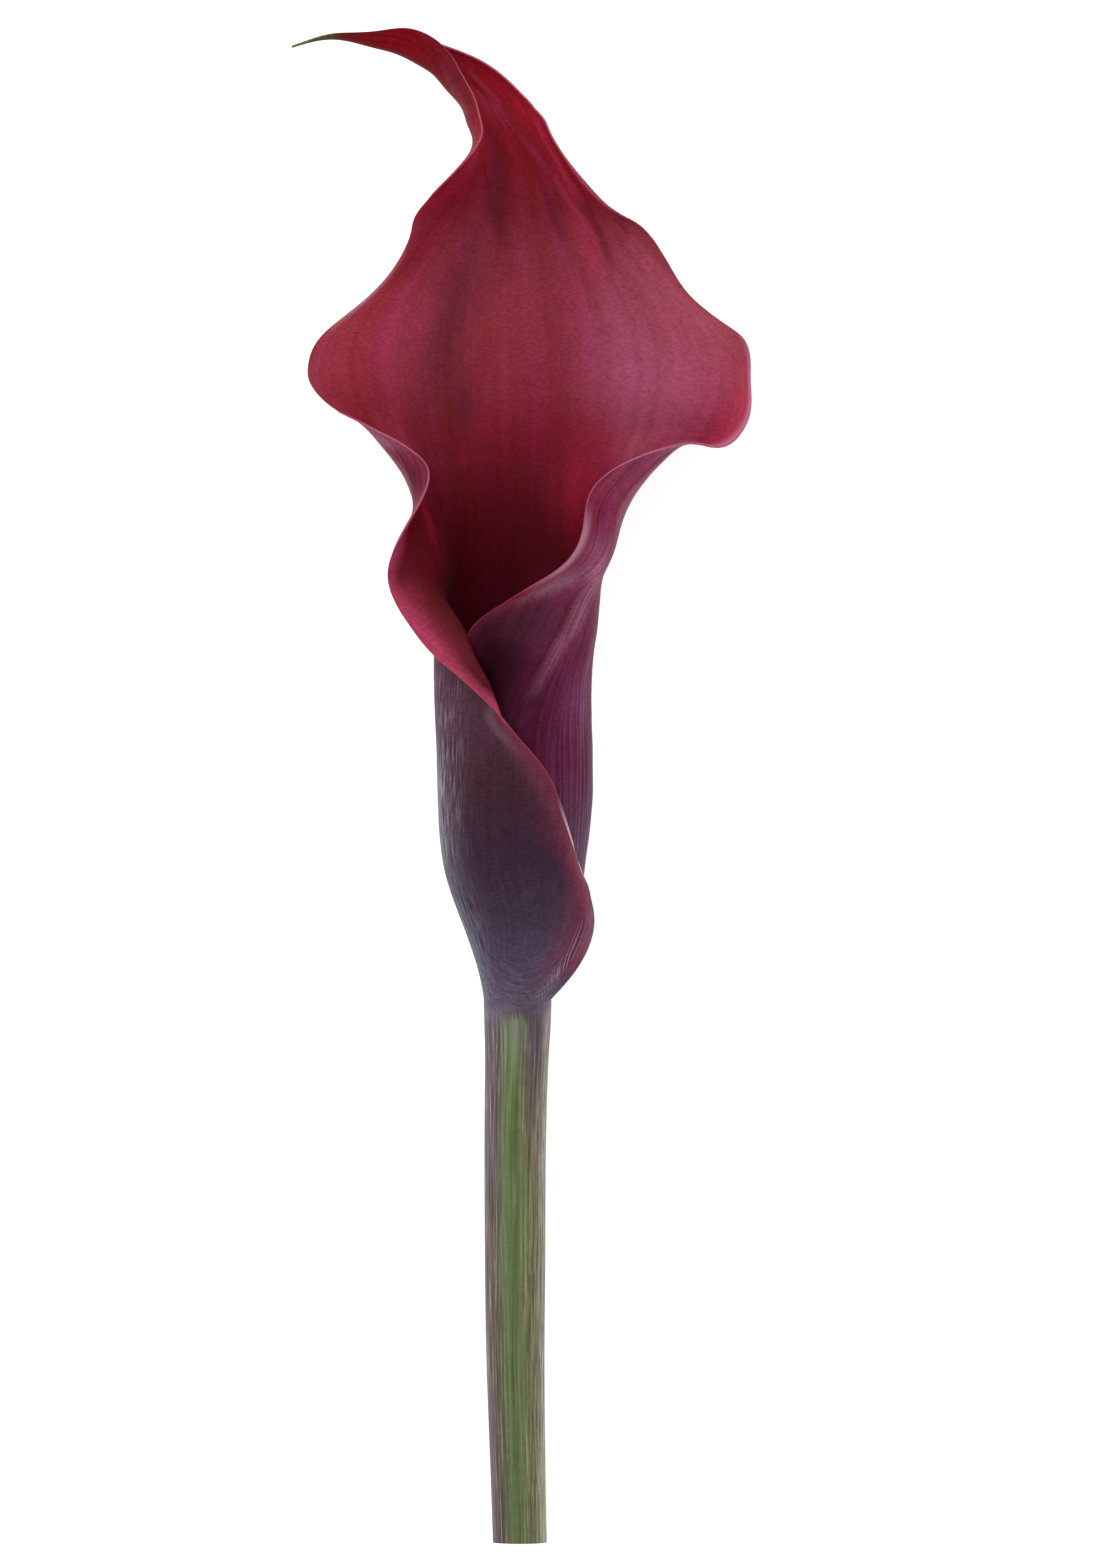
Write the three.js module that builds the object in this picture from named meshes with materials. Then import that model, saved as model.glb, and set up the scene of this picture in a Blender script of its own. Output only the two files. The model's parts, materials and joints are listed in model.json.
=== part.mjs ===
import * as THREE from 'three';

// A calla lily flower as cut, lying on its back: one broad sheet, the spathe, is rolled round the
// spadix into a tube and opens above it into a throat, two lobes and a twisted tail.
// Millimetres. +X is to the right, +Y runs from the stem to the tail, +Z is up, and the opening
// faces up. Sizes are written from the joint of stem and spathe; the group is centred at the end.

// Driving dimensions
const STEM_LENGTH = 73.6;          // cut end to the foot of the spathe
const STEM_CUT_RADIUS = 3.62;
const JOINT_HEIGHT = 7.85;         // the stem's axis at the foot of the spathe, above the table
const SHEET_THICKNESS = 0.9;       // spathe, in the middle of the sheet
const MARGIN_THICKNESS = 0.62;     // spathe, at its free margins, its foot and its tip
const LIFT = -1.35;                // all of the spathe's sections are lowered by this
const SEAT_GAP = 0.3;              // between pieces that grow out of each other
const SPADIX_LENGTH = 38;
const SPADIX_RADIUS = 3.1;
const SPADIX_TAPER = 0.22;         // the share of its radius that it loses towards its tip

// Facets
const SHEET_COLUMNS = 36;
const SHEET_ROWS = 58;
const STEM_SIDES = 20;
const FLORETS_ROUND = 12;
const SPADIX_RINGS = 46;

// The sheet is crossed by nine guides from its left margin to its right one: margin, rim, flap,
// back, midrib and the same again. This is how far out each lies, with the margins at -1 and 1.
const GUIDES = [-1, -0.87, -0.63, -0.33, 0, 0.33, 0.63, 0.87, 1];
const HALF_SHARES = [0, 0.379, 0.724, 1];   // the same for half the tube, from midrib to crest

const radians = THREE.MathUtils.degToRad;

// Natural cubic spline through rows of numbers, one row for each knot
function spline(knots, values) {
  const count = knots.length;
  const width = values[0].length;
  const step = knots.slice(1).map((knot, i) => knot - knots[i]);
  const bend = values.map(() => new Array(width).fill(0));
  const carry = new Array(count).fill(0);
  for (let i = 1; i < count - 1; i++) {
    const pivot = 2 * (step[i - 1] + step[i]) - step[i - 1] * carry[i - 1];
    carry[i] = step[i] / pivot;
    for (let k = 0; k < width; k++) {
      const slopeAfter = (values[i + 1][k] - values[i][k]) / step[i];
      const slopeBefore = (values[i][k] - values[i - 1][k]) / step[i - 1];
      bend[i][k] = (6 * (slopeAfter - slopeBefore) - step[i - 1] * bend[i - 1][k]) / pivot;
    }
  }
  for (let i = count - 2; i > 0; i--) {
    for (let k = 0; k < width; k++) bend[i][k] -= carry[i] * bend[i + 1][k];
  }
  return (at) => {
    let i = 0;
    while (i < count - 2 && at > knots[i + 1]) i++;
    const h = step[i];
    const a = at - knots[i];
    const b = knots[i + 1] - at;
    return values[i].map((value, k) => (
      (bend[i][k] * b ** 3 + bend[i + 1][k] * a ** 3) / (6 * h)
      + (value / h - (bend[i][k] * h) / 6) * b
      + (values[i + 1][k] / h - (bend[i + 1][k] * h) / 6) * a
    ));
  };
}

// A section of the rolled tube. Each half runs round an ellipse from the midrib underneath to its
// crest angle, and its lip leaves the ellipse from there. In front the left half passes outside
// the right one by twice the lap.
function tubeSection({ y, centre, radii, left, right, lap = 1, shares = HALF_SHARES }) {
  const half = (side, { crest, lip }, parts) => {
    const points = parts.map((share) => {
      const degrees = crest * share;
      const front = THREE.MathUtils.smoothstep(degrees, 90, 180);
      const grow = -side * lap * front;
      const angle = radians(degrees);
      return [
        centre[0] + side * (radii[0] + grow) * Math.sin(angle),
        centre[1] - (radii[1] + grow) * Math.cos(angle),
      ];
    });
    const rim = points[points.length - 1];
    return [...points, [rim[0] + lip[0], rim[1] + lip[1]]];
  };
  const leftHalf = half(-1, left, HALF_SHARES);
  const rightHalf = half(1, right, shares);
  return [...leftHalf.reverse(), ...rightHalf.slice(1)].map(([x, z]) => [x, y, z]);
}

// A section of the open throat and lobes, given from the midrib outwards on each side as [x, z].
// Its two margins run ahead of the midrib by the two leads.
function throatSection({ y, left, midrib, right, leads = [0, 0] }) {
  return [...left.toReversed(), midrib, ...right].map(([x, z], i) => {
    const lead = GUIDES[i] < 0 ? leads[0] : leads[1];
    return [x, y + lead * GUIDES[i] ** 2, z];
  });
}

// A section of the neck and tail, turned about an upright line at [x, y] and given outwards from
// the midrib as [across, z]
function tailSection({ at, turn, left, midrib, right }) {
  const cos = Math.cos(radians(turn));
  const sin = Math.sin(radians(turn));
  return [...left.toReversed(), midrib, ...right]
    .map(([across, z]) => [at[0] + across * cos, at[1] + across * sin, z]);
}

// Sections of the spathe, each at its station along the sheet
const TUBE = [
  { y: 0, centre: [0, 9.2], radii: [4.4, 4.4], lap: 0.5,
    left: { crest: 225, lip: [1.2, -1.6] }, right: { crest: 150, lip: [-0.5, 0.8] } },
  { y: 4, centre: [0.1, 9.6], radii: [5.15, 5.1], lap: 0.6,
    left: { crest: 232, lip: [3.2, -1.2] }, right: { crest: 165, lip: [-1.2, 0.8] } },
  { y: 10, centre: [0.3, 10.6], radii: [7.2, 6.8], lap: 0.7,
    left: { crest: 236, lip: [3.2, -2.2] }, right: { crest: 180, lip: [-2, 0.2] } },
  { y: 17.5, centre: [-0.3, 11.7], radii: [9.1, 8.9], lap: 0.9,
    left: { crest: 226, lip: [1.6, -4] }, right: { crest: 190, lip: [-3, -0.6] } },
  { y: 27, centre: [-0.2, 12.3], radii: [10, 10],
    left: { crest: 192, lip: [3.6, -1] }, right: { crest: 195, lip: [-3.5, -1] } },
  { y: 35, centre: [-0.3, 12.3], radii: [10.1, 10.2],
    left: { crest: 172, lip: [3, 0.4] }, right: { crest: 197, lip: [-3.5, -1.2] } },
  { y: 41, centre: [-0.3, 12.3], radii: [10, 10.2], shares: [0, 0.37, 0.715, 1],
    left: { crest: 163, lip: [-1.9, 0.9] }, right: { crest: 197, lip: [-3.5, -1.4] } },
  { y: 46, centre: [-0.2, 12.4], radii: [10.1, 10.3], shares: [0, 0.355, 0.695, 1],
    left: { crest: 147, lip: [-4.8, 0.6] }, right: { crest: 197, lip: [-3.5, -1.5] } },
  { y: 50, centre: [0, 12.5], radii: [10.3, 10.3], shares: [0, 0.33, 0.66, 1],
    left: { crest: 133, lip: [-6.3, -0.2] }, right: { crest: 197, lip: [-3.4, -1.8] } },
];

const THROAT = [
  { y: 57.4, midrib: [0.3, 2.1],
    left: [[-8.7, 6], [-10.2, 16], [-14.2, 19.8], [-17.4, 19]],
    right: [[9.3, 5.6], [11.3, 14.2], [9, 20], [4.9, 21.6]] },
  { y: 66, midrib: [0.5, 1.75],
    left: [[-9, 5], [-12.6, 12], [-13.9, 17.1], [-13.6, 20.2]],
    right: [[9.6, 4.6], [14.2, 12], [12.4, 17.8], [9.2, 20]] },
  { y: 72, midrib: [0.5, 1.7],
    left: [[-10.2, 4.2], [-15.4, 10.3], [-15, 16], [-12.2, 18.6]],
    right: [[10.8, 4], [17.8, 9.8], [17.4, 15.6], [13.9, 18.2]] },
  { y: 75, midrib: [0.5, 1.67], leads: [-0.6, -0.2],
    left: [[-11, 3.8], [-17.2, 8.8], [-17.4, 13.7], [-14.8, 16.7]],
    right: [[11.8, 3.6], [20, 8.2], [22, 12.7], [21.3, 15.5]] },
  { y: 76, midrib: [0.5, 1.66], leads: [-0.7, -0.9],
    left: [[-11.2, 3.7], [-17.8, 8.3], [-18.4, 12.9], [-16.2, 15.8]],
    right: [[12, 3.5], [20.5, 7.8], [23.5, 11.8], [23.8, 14.4]] },
  { y: 77, midrib: [0.5, 1.65], leads: [-0.9, -2.3],
    left: [[-11.3, 3.6], [-18.2, 7.8], [-19.4, 12], [-17.8, 14.6]],
    right: [[12.2, 3.4], [21, 7.5], [24.8, 11], [25.9, 13.2]] },
  { y: 81.5, midrib: [0.5, 1.65], leads: [-0.5, -3.6],
    left: [[-10.8, 3.2], [-19.5, 7], [-24.4, 8.8], [-25.8, 7.6]],
    right: [[12, 3.2], [21.8, 7.8], [28.2, 9], [31, 7.4]] },
  { y: 87, midrib: [0.5, 1.65], leads: [-1.3, -3],
    left: [[-10.5, 2.8], [-20, 6], [-26.4, 4.7], [-28.4, 1.55]],
    right: [[11.5, 2.8], [22, 6.4], [29.3, 4.9], [31.6, 1.55]] },
  { y: 92, midrib: [0.4, 1.65], leads: [-2.2, -2.4],
    left: [[-9.8, 2.5], [-18.5, 4.8], [-24.4, 3.7], [-26.7, 1.4]],
    right: [[10.8, 2.5], [20.5, 5.2], [27.6, 3.8], [30.6, 1.45]] },
  { y: 94, midrib: [0.35, 1.66], leads: [-2.6, -2.85],
    left: [[-9.4, 2.45], [-17.6, 4.5], [-22.9, 3.7], [-25, 1.9]],
    right: [[10.4, 2.45], [19.4, 4.9], [25.7, 3.9], [28.6, 2]] },
  { y: 97.5, midrib: [0.3, 1.75], leads: [-3, -2.8],
    left: [[-8.6, 2.4], [-15.5, 4.4], [-19.6, 4], [-21.1, 2.9]],
    right: [[9.6, 2.4], [17.2, 4.6], [22, 4.2], [24, 3.1]] },
  { y: 102, midrib: [0.3, 2], leads: [-2.2, -2.4],
    left: [[-7.2, 2.5], [-12.4, 4.6], [-15.4, 5.2], [-16.3, 4.6]],
    right: [[8.9, 2.4], [15, 4.7], [18.9, 4.7], [20.5, 4.3]] },
  { y: 105.5, midrib: [0.2, 2.2], leads: [-1.6, -0.9],
    left: [[-6.4, 2.8], [-10.8, 5], [-13.6, 6.3], [-14.4, 5.9]],
    right: [[8, 2.6], [12.9, 4.6], [15.7, 5], [16.8, 5.4]] },
  { y: 109, midrib: [0.2, 2.5], leads: [-2, -1.4],
    left: [[-5.5, 3.2], [-9.2, 5.9], [-12.1, 7.6], [-13.1, 7.2]],
    right: [[6.6, 2.8], [10.2, 4.5], [11.5, 5.6], [11.6, 6.6]] },
];

const TAIL = [
  { station: 113.5, at: [-6.2, 114.6], turn: 4, midrib: [5.6, 3],
    left: [[2.2, 4.2], [0.3, 7.2], [-0.1, 9.6], [0.2, 11]],
    right: [[8.9, 3.1], [10.8, 4.3], [11.6, 5.4], [11.7, 6.2]] },
  { station: 118, at: [-7, 118.4], turn: 15, midrib: [3.6, 4],
    left: [[1.1, 5.4], [0.4, 8.2], [0.9, 10.8], [2, 12.2]],
    right: [[5.7, 3.6], [7.7, 4.2], [8.9, 4.9], [9.3, 5.6]] },
  { station: 121.5, at: [-7.9, 120.8], turn: 31, midrib: [2.7, 4.8],
    left: [[0.8, 6.2], [0.4, 8.8], [1.1, 11], [2.3, 11.8]],
    right: [[4.2, 4.4], [5.8, 4.7], [6.7, 5.1], [7, 5.7]] },
  { station: 124.5, at: [-9.8, 122.9], turn: 42, midrib: [2, 5.6],
    left: [[0.7, 6.9], [0.5, 9.2], [1.7, 10.8], [3.1, 11.2]],
    right: [[3.4, 5.1], [4.7, 5.2], [5.6, 5.5], [5.9, 6]] },
  { station: 127.5, at: [-11.5, 124.7], turn: 49, midrib: [1.5, 6.4],
    left: [[0.6, 7.6], [0.8, 9.4], [2.4, 10.4], [3.9, 10.4]],
    right: [[2.6, 5.8], [3.9, 5.8], [4.6, 6], [4.9, 6.4]] },
  { station: 130.5, at: [-13.7, 126.1], turn: 59, midrib: [1, 7],
    left: [[0.5, 8.2], [1.2, 9.6], [3, 10], [4.5, 9.6]],
    right: [[1.9, 6.3], [3, 6.3], [3.7, 6.5], [4.1, 6.9]] },
  { station: 133.5, at: [-16.4, 127.5], turn: 67, midrib: [0.7, 7.4],
    left: [[0.5, 8.4], [1.4, 9.4], [2.9, 9.7], [4.1, 9.4]],
    right: [[1.4, 6.8], [2.2, 6.7], [2.9, 6.8], [3.3, 7.1]] },
  { station: 137, at: [-19.9, 128.5], turn: 74, midrib: [0.5, 7.7],
    left: [[0.45, 8.4], [0.9, 9.1], [1.7, 9.4], [2.5, 9.3]],
    right: [[0.8, 7.1], [1.3, 6.9], [1.8, 6.9], [2.1, 7.1]] },
  { station: 141.5, at: [-24.6, 129.6], turn: 86, midrib: [0.35, 7.8],
    left: [[0.42, 8.16], [0.6, 8.49], [0.85, 8.76], [1.05, 8.9]],
    right: [[0.38, 7.44], [0.5, 7.11], [0.65, 6.84], [0.78, 6.7]] },
  { station: 145, at: [-27.9, 129.4], turn: 96, midrib: [0.2, 7.8],
    left: [[0.22, 8.03], [0.28, 8.24], [0.36, 8.41], [0.42, 8.5]],
    right: [[0.22, 7.57], [0.26, 7.36], [0.31, 7.19], [0.35, 7.1]] },
  { station: 148, at: [-30.5, 128.75], turn: 104, midrib: [0.1, 7.8],
    left: [[0.11, 7.93], [0.12, 8.05], [0.14, 8.15], [0.15, 8.2]],
    right: [[0.11, 7.67], [0.12, 7.55], [0.14, 7.45], [0.15, 7.4]] },
];

// The whole sheet as one smooth surface: lengthwise splines first, then one across them
const SECTIONS = [
  ...TUBE.map((section) => [section.y, tubeSection(section)]),
  ...THROAT.map((section) => [section.y, throatSection(section)]),
  ...TAIL.map((section) => [section.station, tailSection(section)]),
];
const TIP_STATION = SECTIONS[SECTIONS.length - 1][0];
const lengthwise = spline(SECTIONS.map(([station]) => station), SECTIONS.map(([, row]) => row.flat()));

function sheetRow(station) {
  const numbers = lengthwise(station);
  const points = GUIDES.map((_, i) => numbers.slice(3 * i, 3 * i + 3));
  const across = spline(GUIDES, points);
  return (place) => new THREE.Vector3(...across(place)).add(new THREE.Vector3(0, 0, LIFT));
}

function sheetThickness(place, station) {
  const nearMargin = THREE.MathUtils.smoothstep(Math.abs(place), 0.55, 1);
  const nearFoot = 1 - THREE.MathUtils.smoothstep(station, 0, 17);
  const nearTip = THREE.MathUtils.smoothstep(station, 112, 134);
  const thin = Math.max(nearMargin, nearFoot, nearTip);
  return THREE.MathUtils.lerp(SHEET_THICKNESS, MARGIN_THICKNESS, thin);
}

// A closed solid from two matching grids of points: an outer and an inner face with a rim between.
// Both faces are split along the same diagonals.
function solidSheet(outer, inner) {
  const rows = outer.length;
  const columns = outer[0].length;
  const positions = [...outer.flat(), ...inner.flat()].flatMap((point) => point.toArray());
  const index = [];
  const outerAt = (row, column) => row * columns + column;
  const innerAt = (row, column) => rows * columns + outerAt(row, column);
  const rimQuad = (a, b) => {
    index.push(outerAt(...a), outerAt(...b), innerAt(...b));
    index.push(outerAt(...a), innerAt(...b), innerAt(...a));
  };
  for (let row = 0; row < rows - 1; row++) {
    for (let column = 0; column < columns - 1; column++) {
      const corners = [[row, column], [row, column + 1], [row + 1, column + 1], [row + 1, column]];
      const [a, b, c, d] = corners.map((corner) => outerAt(...corner));
      index.push(a, c, b, a, d, c);
      const [e, f, g, h] = corners.map((corner) => innerAt(...corner));
      index.push(e, f, g, e, g, h);
    }
    rimQuad([row + 1, 0], [row, 0]);
    rimQuad([row, columns - 1], [row + 1, columns - 1]);
  }
  for (let column = 0; column < columns - 1; column++) {
    rimQuad([0, column], [0, column + 1]);
    rimQuad([rows - 1, column + 1], [rows - 1, column]);
  }
  const geometry = new THREE.BufferGeometry();
  geometry.setAttribute('position', new THREE.Float32BufferAttribute(positions, 3));
  geometry.setIndex(index);
  geometry.computeVertexNormals();
  return geometry;
}

// The spathe. Where its back and lobes would dip below the table they are pressed flat on it.
function spatheGeometry() {
  const outer = [];
  const inner = [];
  const nudge = 1e-3;
  for (let row = 0; row <= SHEET_ROWS; row++) {
    const station = (TIP_STATION * row) / SHEET_ROWS;
    const here = sheetRow(station);
    const before = sheetRow(Math.max(station - nudge, 0));
    const after = sheetRow(Math.min(station + nudge, TIP_STATION));
    const outerRow = [];
    const innerRow = [];
    for (let column = 0; column <= SHEET_COLUMNS; column++) {
      const place = (2 * column) / SHEET_COLUMNS - 1;
      const alongX = here(Math.min(place + nudge, 1)).sub(here(Math.max(place - nudge, -1)));
      const alongY = after(place).sub(before(place));
      const inward = alongX.cross(alongY).normalize();
      const thickness = sheetThickness(place, station);
      const below = here(place).addScaledVector(inward, -thickness / 2);
      const above = here(place).addScaledVector(inward, thickness / 2);
      below.z = Math.max(below.z, 0);
      above.z = Math.max(above.z, MARGIN_THICKNESS);
      outerRow.push(below);
      innerRow.push(above);
    }
    outer.push(outerRow);
    inner.push(innerRow);
  }
  return solidSheet(outer, inner);
}

// A closed solid from rings of points round an axis along +Y, with both ends capped
function ringSolid(rings) {
  const sides = rings[0].points.length;
  const positions = rings.flatMap((ring) => ring.points.flatMap((point) => point.toArray()));
  const index = [];
  for (let ring = 0; ring < rings.length - 1; ring++) {
    for (let side = 0; side < sides; side++) {
      const next = (side + 1) % sides;
      const [a, b] = [ring * sides + side, ring * sides + next];
      const [c, d] = [a + sides, b + sides];
      index.push(a, d, b, a, c, d);
    }
  }
  const cap = (ring, flip) => {
    const hub = positions.length / 3;
    positions.push(...rings[ring].centre.toArray());
    for (let side = 0; side < sides; side++) {
      const pair = [ring * sides + side, ring * sides + ((side + 1) % sides)];
      index.push(hub, ...(flip ? pair.reverse() : pair));
    }
  };
  cap(0, false);
  cap(rings.length - 1, true);
  const geometry = new THREE.BufferGeometry();
  geometry.setAttribute('position', new THREE.Float32BufferAttribute(positions, 3));
  geometry.setIndex(index);
  geometry.computeVertexNormals();
  return geometry;
}

// One ring about an upright circle's centre; radiusAt gives the radius on each side
function ring(centre, sides, radiusAt) {
  const points = [];
  for (let side = 0; side < sides; side++) {
    const angle = (2 * Math.PI * (side + 0.5)) / sides;
    const radius = radiusAt(side);
    points.push(new THREE.Vector3(
      centre.x + radius * Math.sin(angle),
      centre.y,
      centre.z - radius * Math.cos(angle),
    ));
  }
  return { centre, points };
}

// The stem's bend and girth: distance from the joint, sideways sway, radius, and the part of the
// way up from the cut end to the joint's height
const STEM_FORM = spline(
  [-STEM_LENGTH, -62, -48, -36, -22, -12, -6, -2.5, 0],
  [[0.3, 3.62, 0], [0, 3.72, 0.08], [-0.3, 3.92, 0.24], [-0.34, 4.05, 0.42], [-0.34, 4.12, 0.66],
    [-0.2, 4.2, 0.82], [-0.05, 4.34, 0.91], [0, 4.52, 0.965], [0, 4.72, 1]],
);
const NECK_RADIUS = 3.2;           // the stem's top inside the foot of the spathe
const NECK_LENGTH = 5.4;
const NECK_RISE = 0.14;            // the neck's axis climbs this much for each millimetre of Y

function stemAxis(y) {
  const [sway, radius, rise] = STEM_FORM(y);
  const height = THREE.MathUtils.lerp(STEM_CUT_RADIUS, JOINT_HEIGHT, rise);
  return { centre: new THREE.Vector3(sway, y, height), radius };
}

function stemGeometry() {
  const flatFoot = 1 / Math.cos(Math.PI / STEM_SIDES);   // the lowest side, not a corner, sits flat
  const shoulder = -SEAT_GAP;
  const stations = [-STEM_LENGTH, -70, -62, -54, -46, -38, -30, -22, -15, -9, -5, -2.5, shoulder];
  const rings = stations.map((y) => {
    const { centre, radius } = stemAxis(y);
    return ring(centre, STEM_SIDES, () => radius * (y === -STEM_LENGTH ? flatFoot : 1));
  });
  for (const y of [shoulder, NECK_LENGTH]) {
    const centre = new THREE.Vector3(0, y, JOINT_HEIGHT + NECK_RISE * Math.max(y, 0));
    rings.push(ring(centre, STEM_SIDES, () => NECK_RADIUS));
  }
  return ringSolid(rings);
}

// The spadix: a blunt finger whose surface is raised into florets, each ring of them set half a
// floret round from the last
function spadixGeometry() {
  const sides = 2 * FLORETS_ROUND;
  const relief = 0.3;
  const [bluntFrom, bluntReach] = [0.84, 0.17];   // as shares of its length
  const foot = NECK_LENGTH + SEAT_GAP;
  const axis = spline([0, 0.4, 1], [[0, 8.75], [-0.1, 10.4], [-0.2, 10.9]]);
  const rings = [];
  for (let i = 0; i <= SPADIX_RINGS; i++) {
    const along = i / SPADIX_RINGS;
    const [x, z] = axis(along);
    const taper = 1 - SPADIX_TAPER * along;
    const nearTip = THREE.MathUtils.clamp((along - bluntFrom) / bluntReach, 0, 1);
    const blunt = Math.sqrt(1 - nearTip ** 2);
    const radius = SPADIX_RADIUS * taper * blunt;
    const centre = new THREE.Vector3(x, foot + SPADIX_LENGTH * along, z);
    rings.push(ring(centre, sides, (side) => {
      const raised = (side + i) % 2 === 0 && i > 0 && i < SPADIX_RINGS;
      return radius + (raised ? relief * blunt : 0);
    }));
  }
  return ringSolid(rings);
}

function piece(name, geometry, colour, roughness) {
  const material = new THREE.MeshStandardMaterial({ color: colour, roughness, metalness: 0 });
  const mesh = new THREE.Mesh(geometry, material);
  mesh.name = name;
  return mesh;
}

const flower = new THREE.Group();
flower.add(piece('spathe', spatheGeometry(), 0x8e1f3c, 0.55));
flower.add(piece('stem', stemGeometry(), 0x6d7a3a, 0.5));
flower.add(piece('spadix', spadixGeometry(), 0xd9a520, 0.7));

// The origin goes under the middle of the flower, on the table
const extent = new THREE.Box3().setFromObject(flower);
const middle = extent.getCenter(new THREE.Vector3());
flower.position.set(-middle.x, -middle.y, -extent.min.z);

export default flower;
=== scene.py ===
import bpy
import json
import math
import random
import numpy as np
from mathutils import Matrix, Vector, noise

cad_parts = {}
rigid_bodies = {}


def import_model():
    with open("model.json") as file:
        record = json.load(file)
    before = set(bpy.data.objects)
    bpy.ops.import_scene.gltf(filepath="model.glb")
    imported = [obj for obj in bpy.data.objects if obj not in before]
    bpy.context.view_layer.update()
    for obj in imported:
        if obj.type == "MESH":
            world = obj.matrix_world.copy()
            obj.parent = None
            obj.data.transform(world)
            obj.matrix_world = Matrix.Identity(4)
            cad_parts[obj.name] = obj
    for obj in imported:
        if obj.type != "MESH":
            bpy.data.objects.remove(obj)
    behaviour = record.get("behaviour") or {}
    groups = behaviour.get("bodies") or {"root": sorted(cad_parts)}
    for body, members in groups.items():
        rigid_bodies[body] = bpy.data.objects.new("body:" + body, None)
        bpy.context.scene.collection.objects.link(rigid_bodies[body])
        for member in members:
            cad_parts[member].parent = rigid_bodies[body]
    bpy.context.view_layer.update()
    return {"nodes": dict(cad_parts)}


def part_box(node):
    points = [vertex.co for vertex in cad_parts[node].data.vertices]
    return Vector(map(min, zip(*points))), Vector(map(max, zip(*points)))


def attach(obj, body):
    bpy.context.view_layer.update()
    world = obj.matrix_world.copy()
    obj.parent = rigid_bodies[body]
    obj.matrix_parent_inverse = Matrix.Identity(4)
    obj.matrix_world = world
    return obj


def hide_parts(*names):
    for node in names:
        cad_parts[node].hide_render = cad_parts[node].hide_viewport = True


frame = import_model()

# A calla lily flower as cut, lying on its back and seen from above. Lengths are in millimetres
# from the joint of stem and spathe, and become metres in the frame's place when a mesh is made.

STEM_LENGTH = 73.6
JOINT_HEIGHT = 7.85
LIFT = -1.35                  # lowers the spathe and the spadix onto the floor
PIXEL = 0.135                 # size of one pixel of the photograph on the flower
IMAGE = (1108, 1556)          # width and height of the photograph
JOINT_PIXEL = (517.5, 1000)   # where the photograph shows the joint


# Where the flower lies in the frame: the cut end of the stem shows it
def find_place():
    low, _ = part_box("stem")
    cut_sway = 0.3
    slack = 1e-6
    corners = [v.co for v in frame["nodes"]["stem"].data.vertices if v.co.y < low.y + slack]
    middle = (min(c.x for c in corners) + max(c.x for c in corners)) / 2
    return Vector((middle * 1000 - cut_sway, low.y * 1000 + STEM_LENGTH, 0))


PLACE = find_place()


def metres(point):
    return (Vector(point) + PLACE) / 1000


# Curves
def spline(knots, values, at):
    """Natural cubic spline through rows of numbers, read at each place in at"""
    knots = np.asarray(knots, float)
    values = np.asarray(values, float)
    flat = values.reshape(len(knots), -1)
    step = np.diff(knots)
    system = np.eye(len(knots))
    change = np.zeros_like(flat)
    for i in range(1, len(knots) - 1):
        system[i, i - 1:i + 2] = step[i - 1], 2 * (step[i - 1] + step[i]), step[i]
        change[i] = 6 * ((flat[i + 1] - flat[i]) / step[i] - (flat[i] - flat[i - 1]) / step[i - 1])
    bend = np.linalg.solve(system, change)
    at = np.asarray(at, float)
    i = np.clip(np.searchsorted(knots, at) - 1, 0, len(knots) - 2)
    a, b, h = (part[:, None] for part in (at - knots[i], knots[i + 1] - at, step[i]))
    curve = (bend[i] * b ** 3 + bend[i + 1] * a ** 3) / (6 * h)
    curve += (flat[i] / h - bend[i] * h / 6) * b + (flat[i + 1] / h - bend[i + 1] * h / 6) * a
    return curve.reshape((len(at),) + values.shape[1:])


def smooth(value, low, high):
    x = np.clip((np.asarray(value, float) - low) / (high - low), 0, 1)
    return x * x * (3 - 2 * x)


# The spathe's sections. Each has nine points, at these places from the left margin to the right one.
# In the tube they lie at these shares of each half's crest angle, and the last one in its lip.
GUIDES = (-1, -0.87, -0.63, -0.33, 0, 0.33, 0.63, 0.87, 1)
HALF_SHARES = (0, 0.379, 0.724, 1)


def tube_section(y, centre, radii, left, right, lap=1, shares=HALF_SHARES):
    """Each half runs round an ellipse from the midrib to its crest angle and leaves it in a lip.
    From the sides to the top the left half comes to lie outside the ellipse by the lap, and the
    right half inside it."""
    def half(side, crest, lip, parts):
        points = []
        for part in parts:
            degrees = crest * part
            grow = -side * lap * smooth(degrees, 90, 180)
            angle = math.radians(degrees)
            points.append((centre[0] + side * (radii[0] + grow) * math.sin(angle),
                           centre[1] - (radii[1] + grow) * math.cos(angle)))
        rim = points[-1]
        return points + [(rim[0] + lip[0], rim[1] + lip[1])]
    left_half = half(-1, *left, HALF_SHARES)
    right_half = half(1, *right, shares)
    return y, [(x, y, z) for x, z in left_half[::-1] + right_half[1:]]


def throat_section(y, left, midrib, right, leads=(0, 0)):
    """Given outwards from the midrib as (x, z); the margins run ahead of it by the two leads"""
    row = [*left[::-1], midrib, *right]
    return y, [(x, y + (leads[0] if guide < 0 else leads[1]) * guide ** 2, z)
               for (x, z), guide in zip(row, GUIDES)]


def tail_section(station, at, turn, left, midrib, right):
    """Turned about an upright line, and given outwards from the midrib as (across, z)"""
    cos, sin = math.cos(math.radians(turn)), math.sin(math.radians(turn))
    return station, [(at[0] + across * cos, at[1] + across * sin, z)
                     for across, z in (*left[::-1], midrib, *right)]


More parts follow.
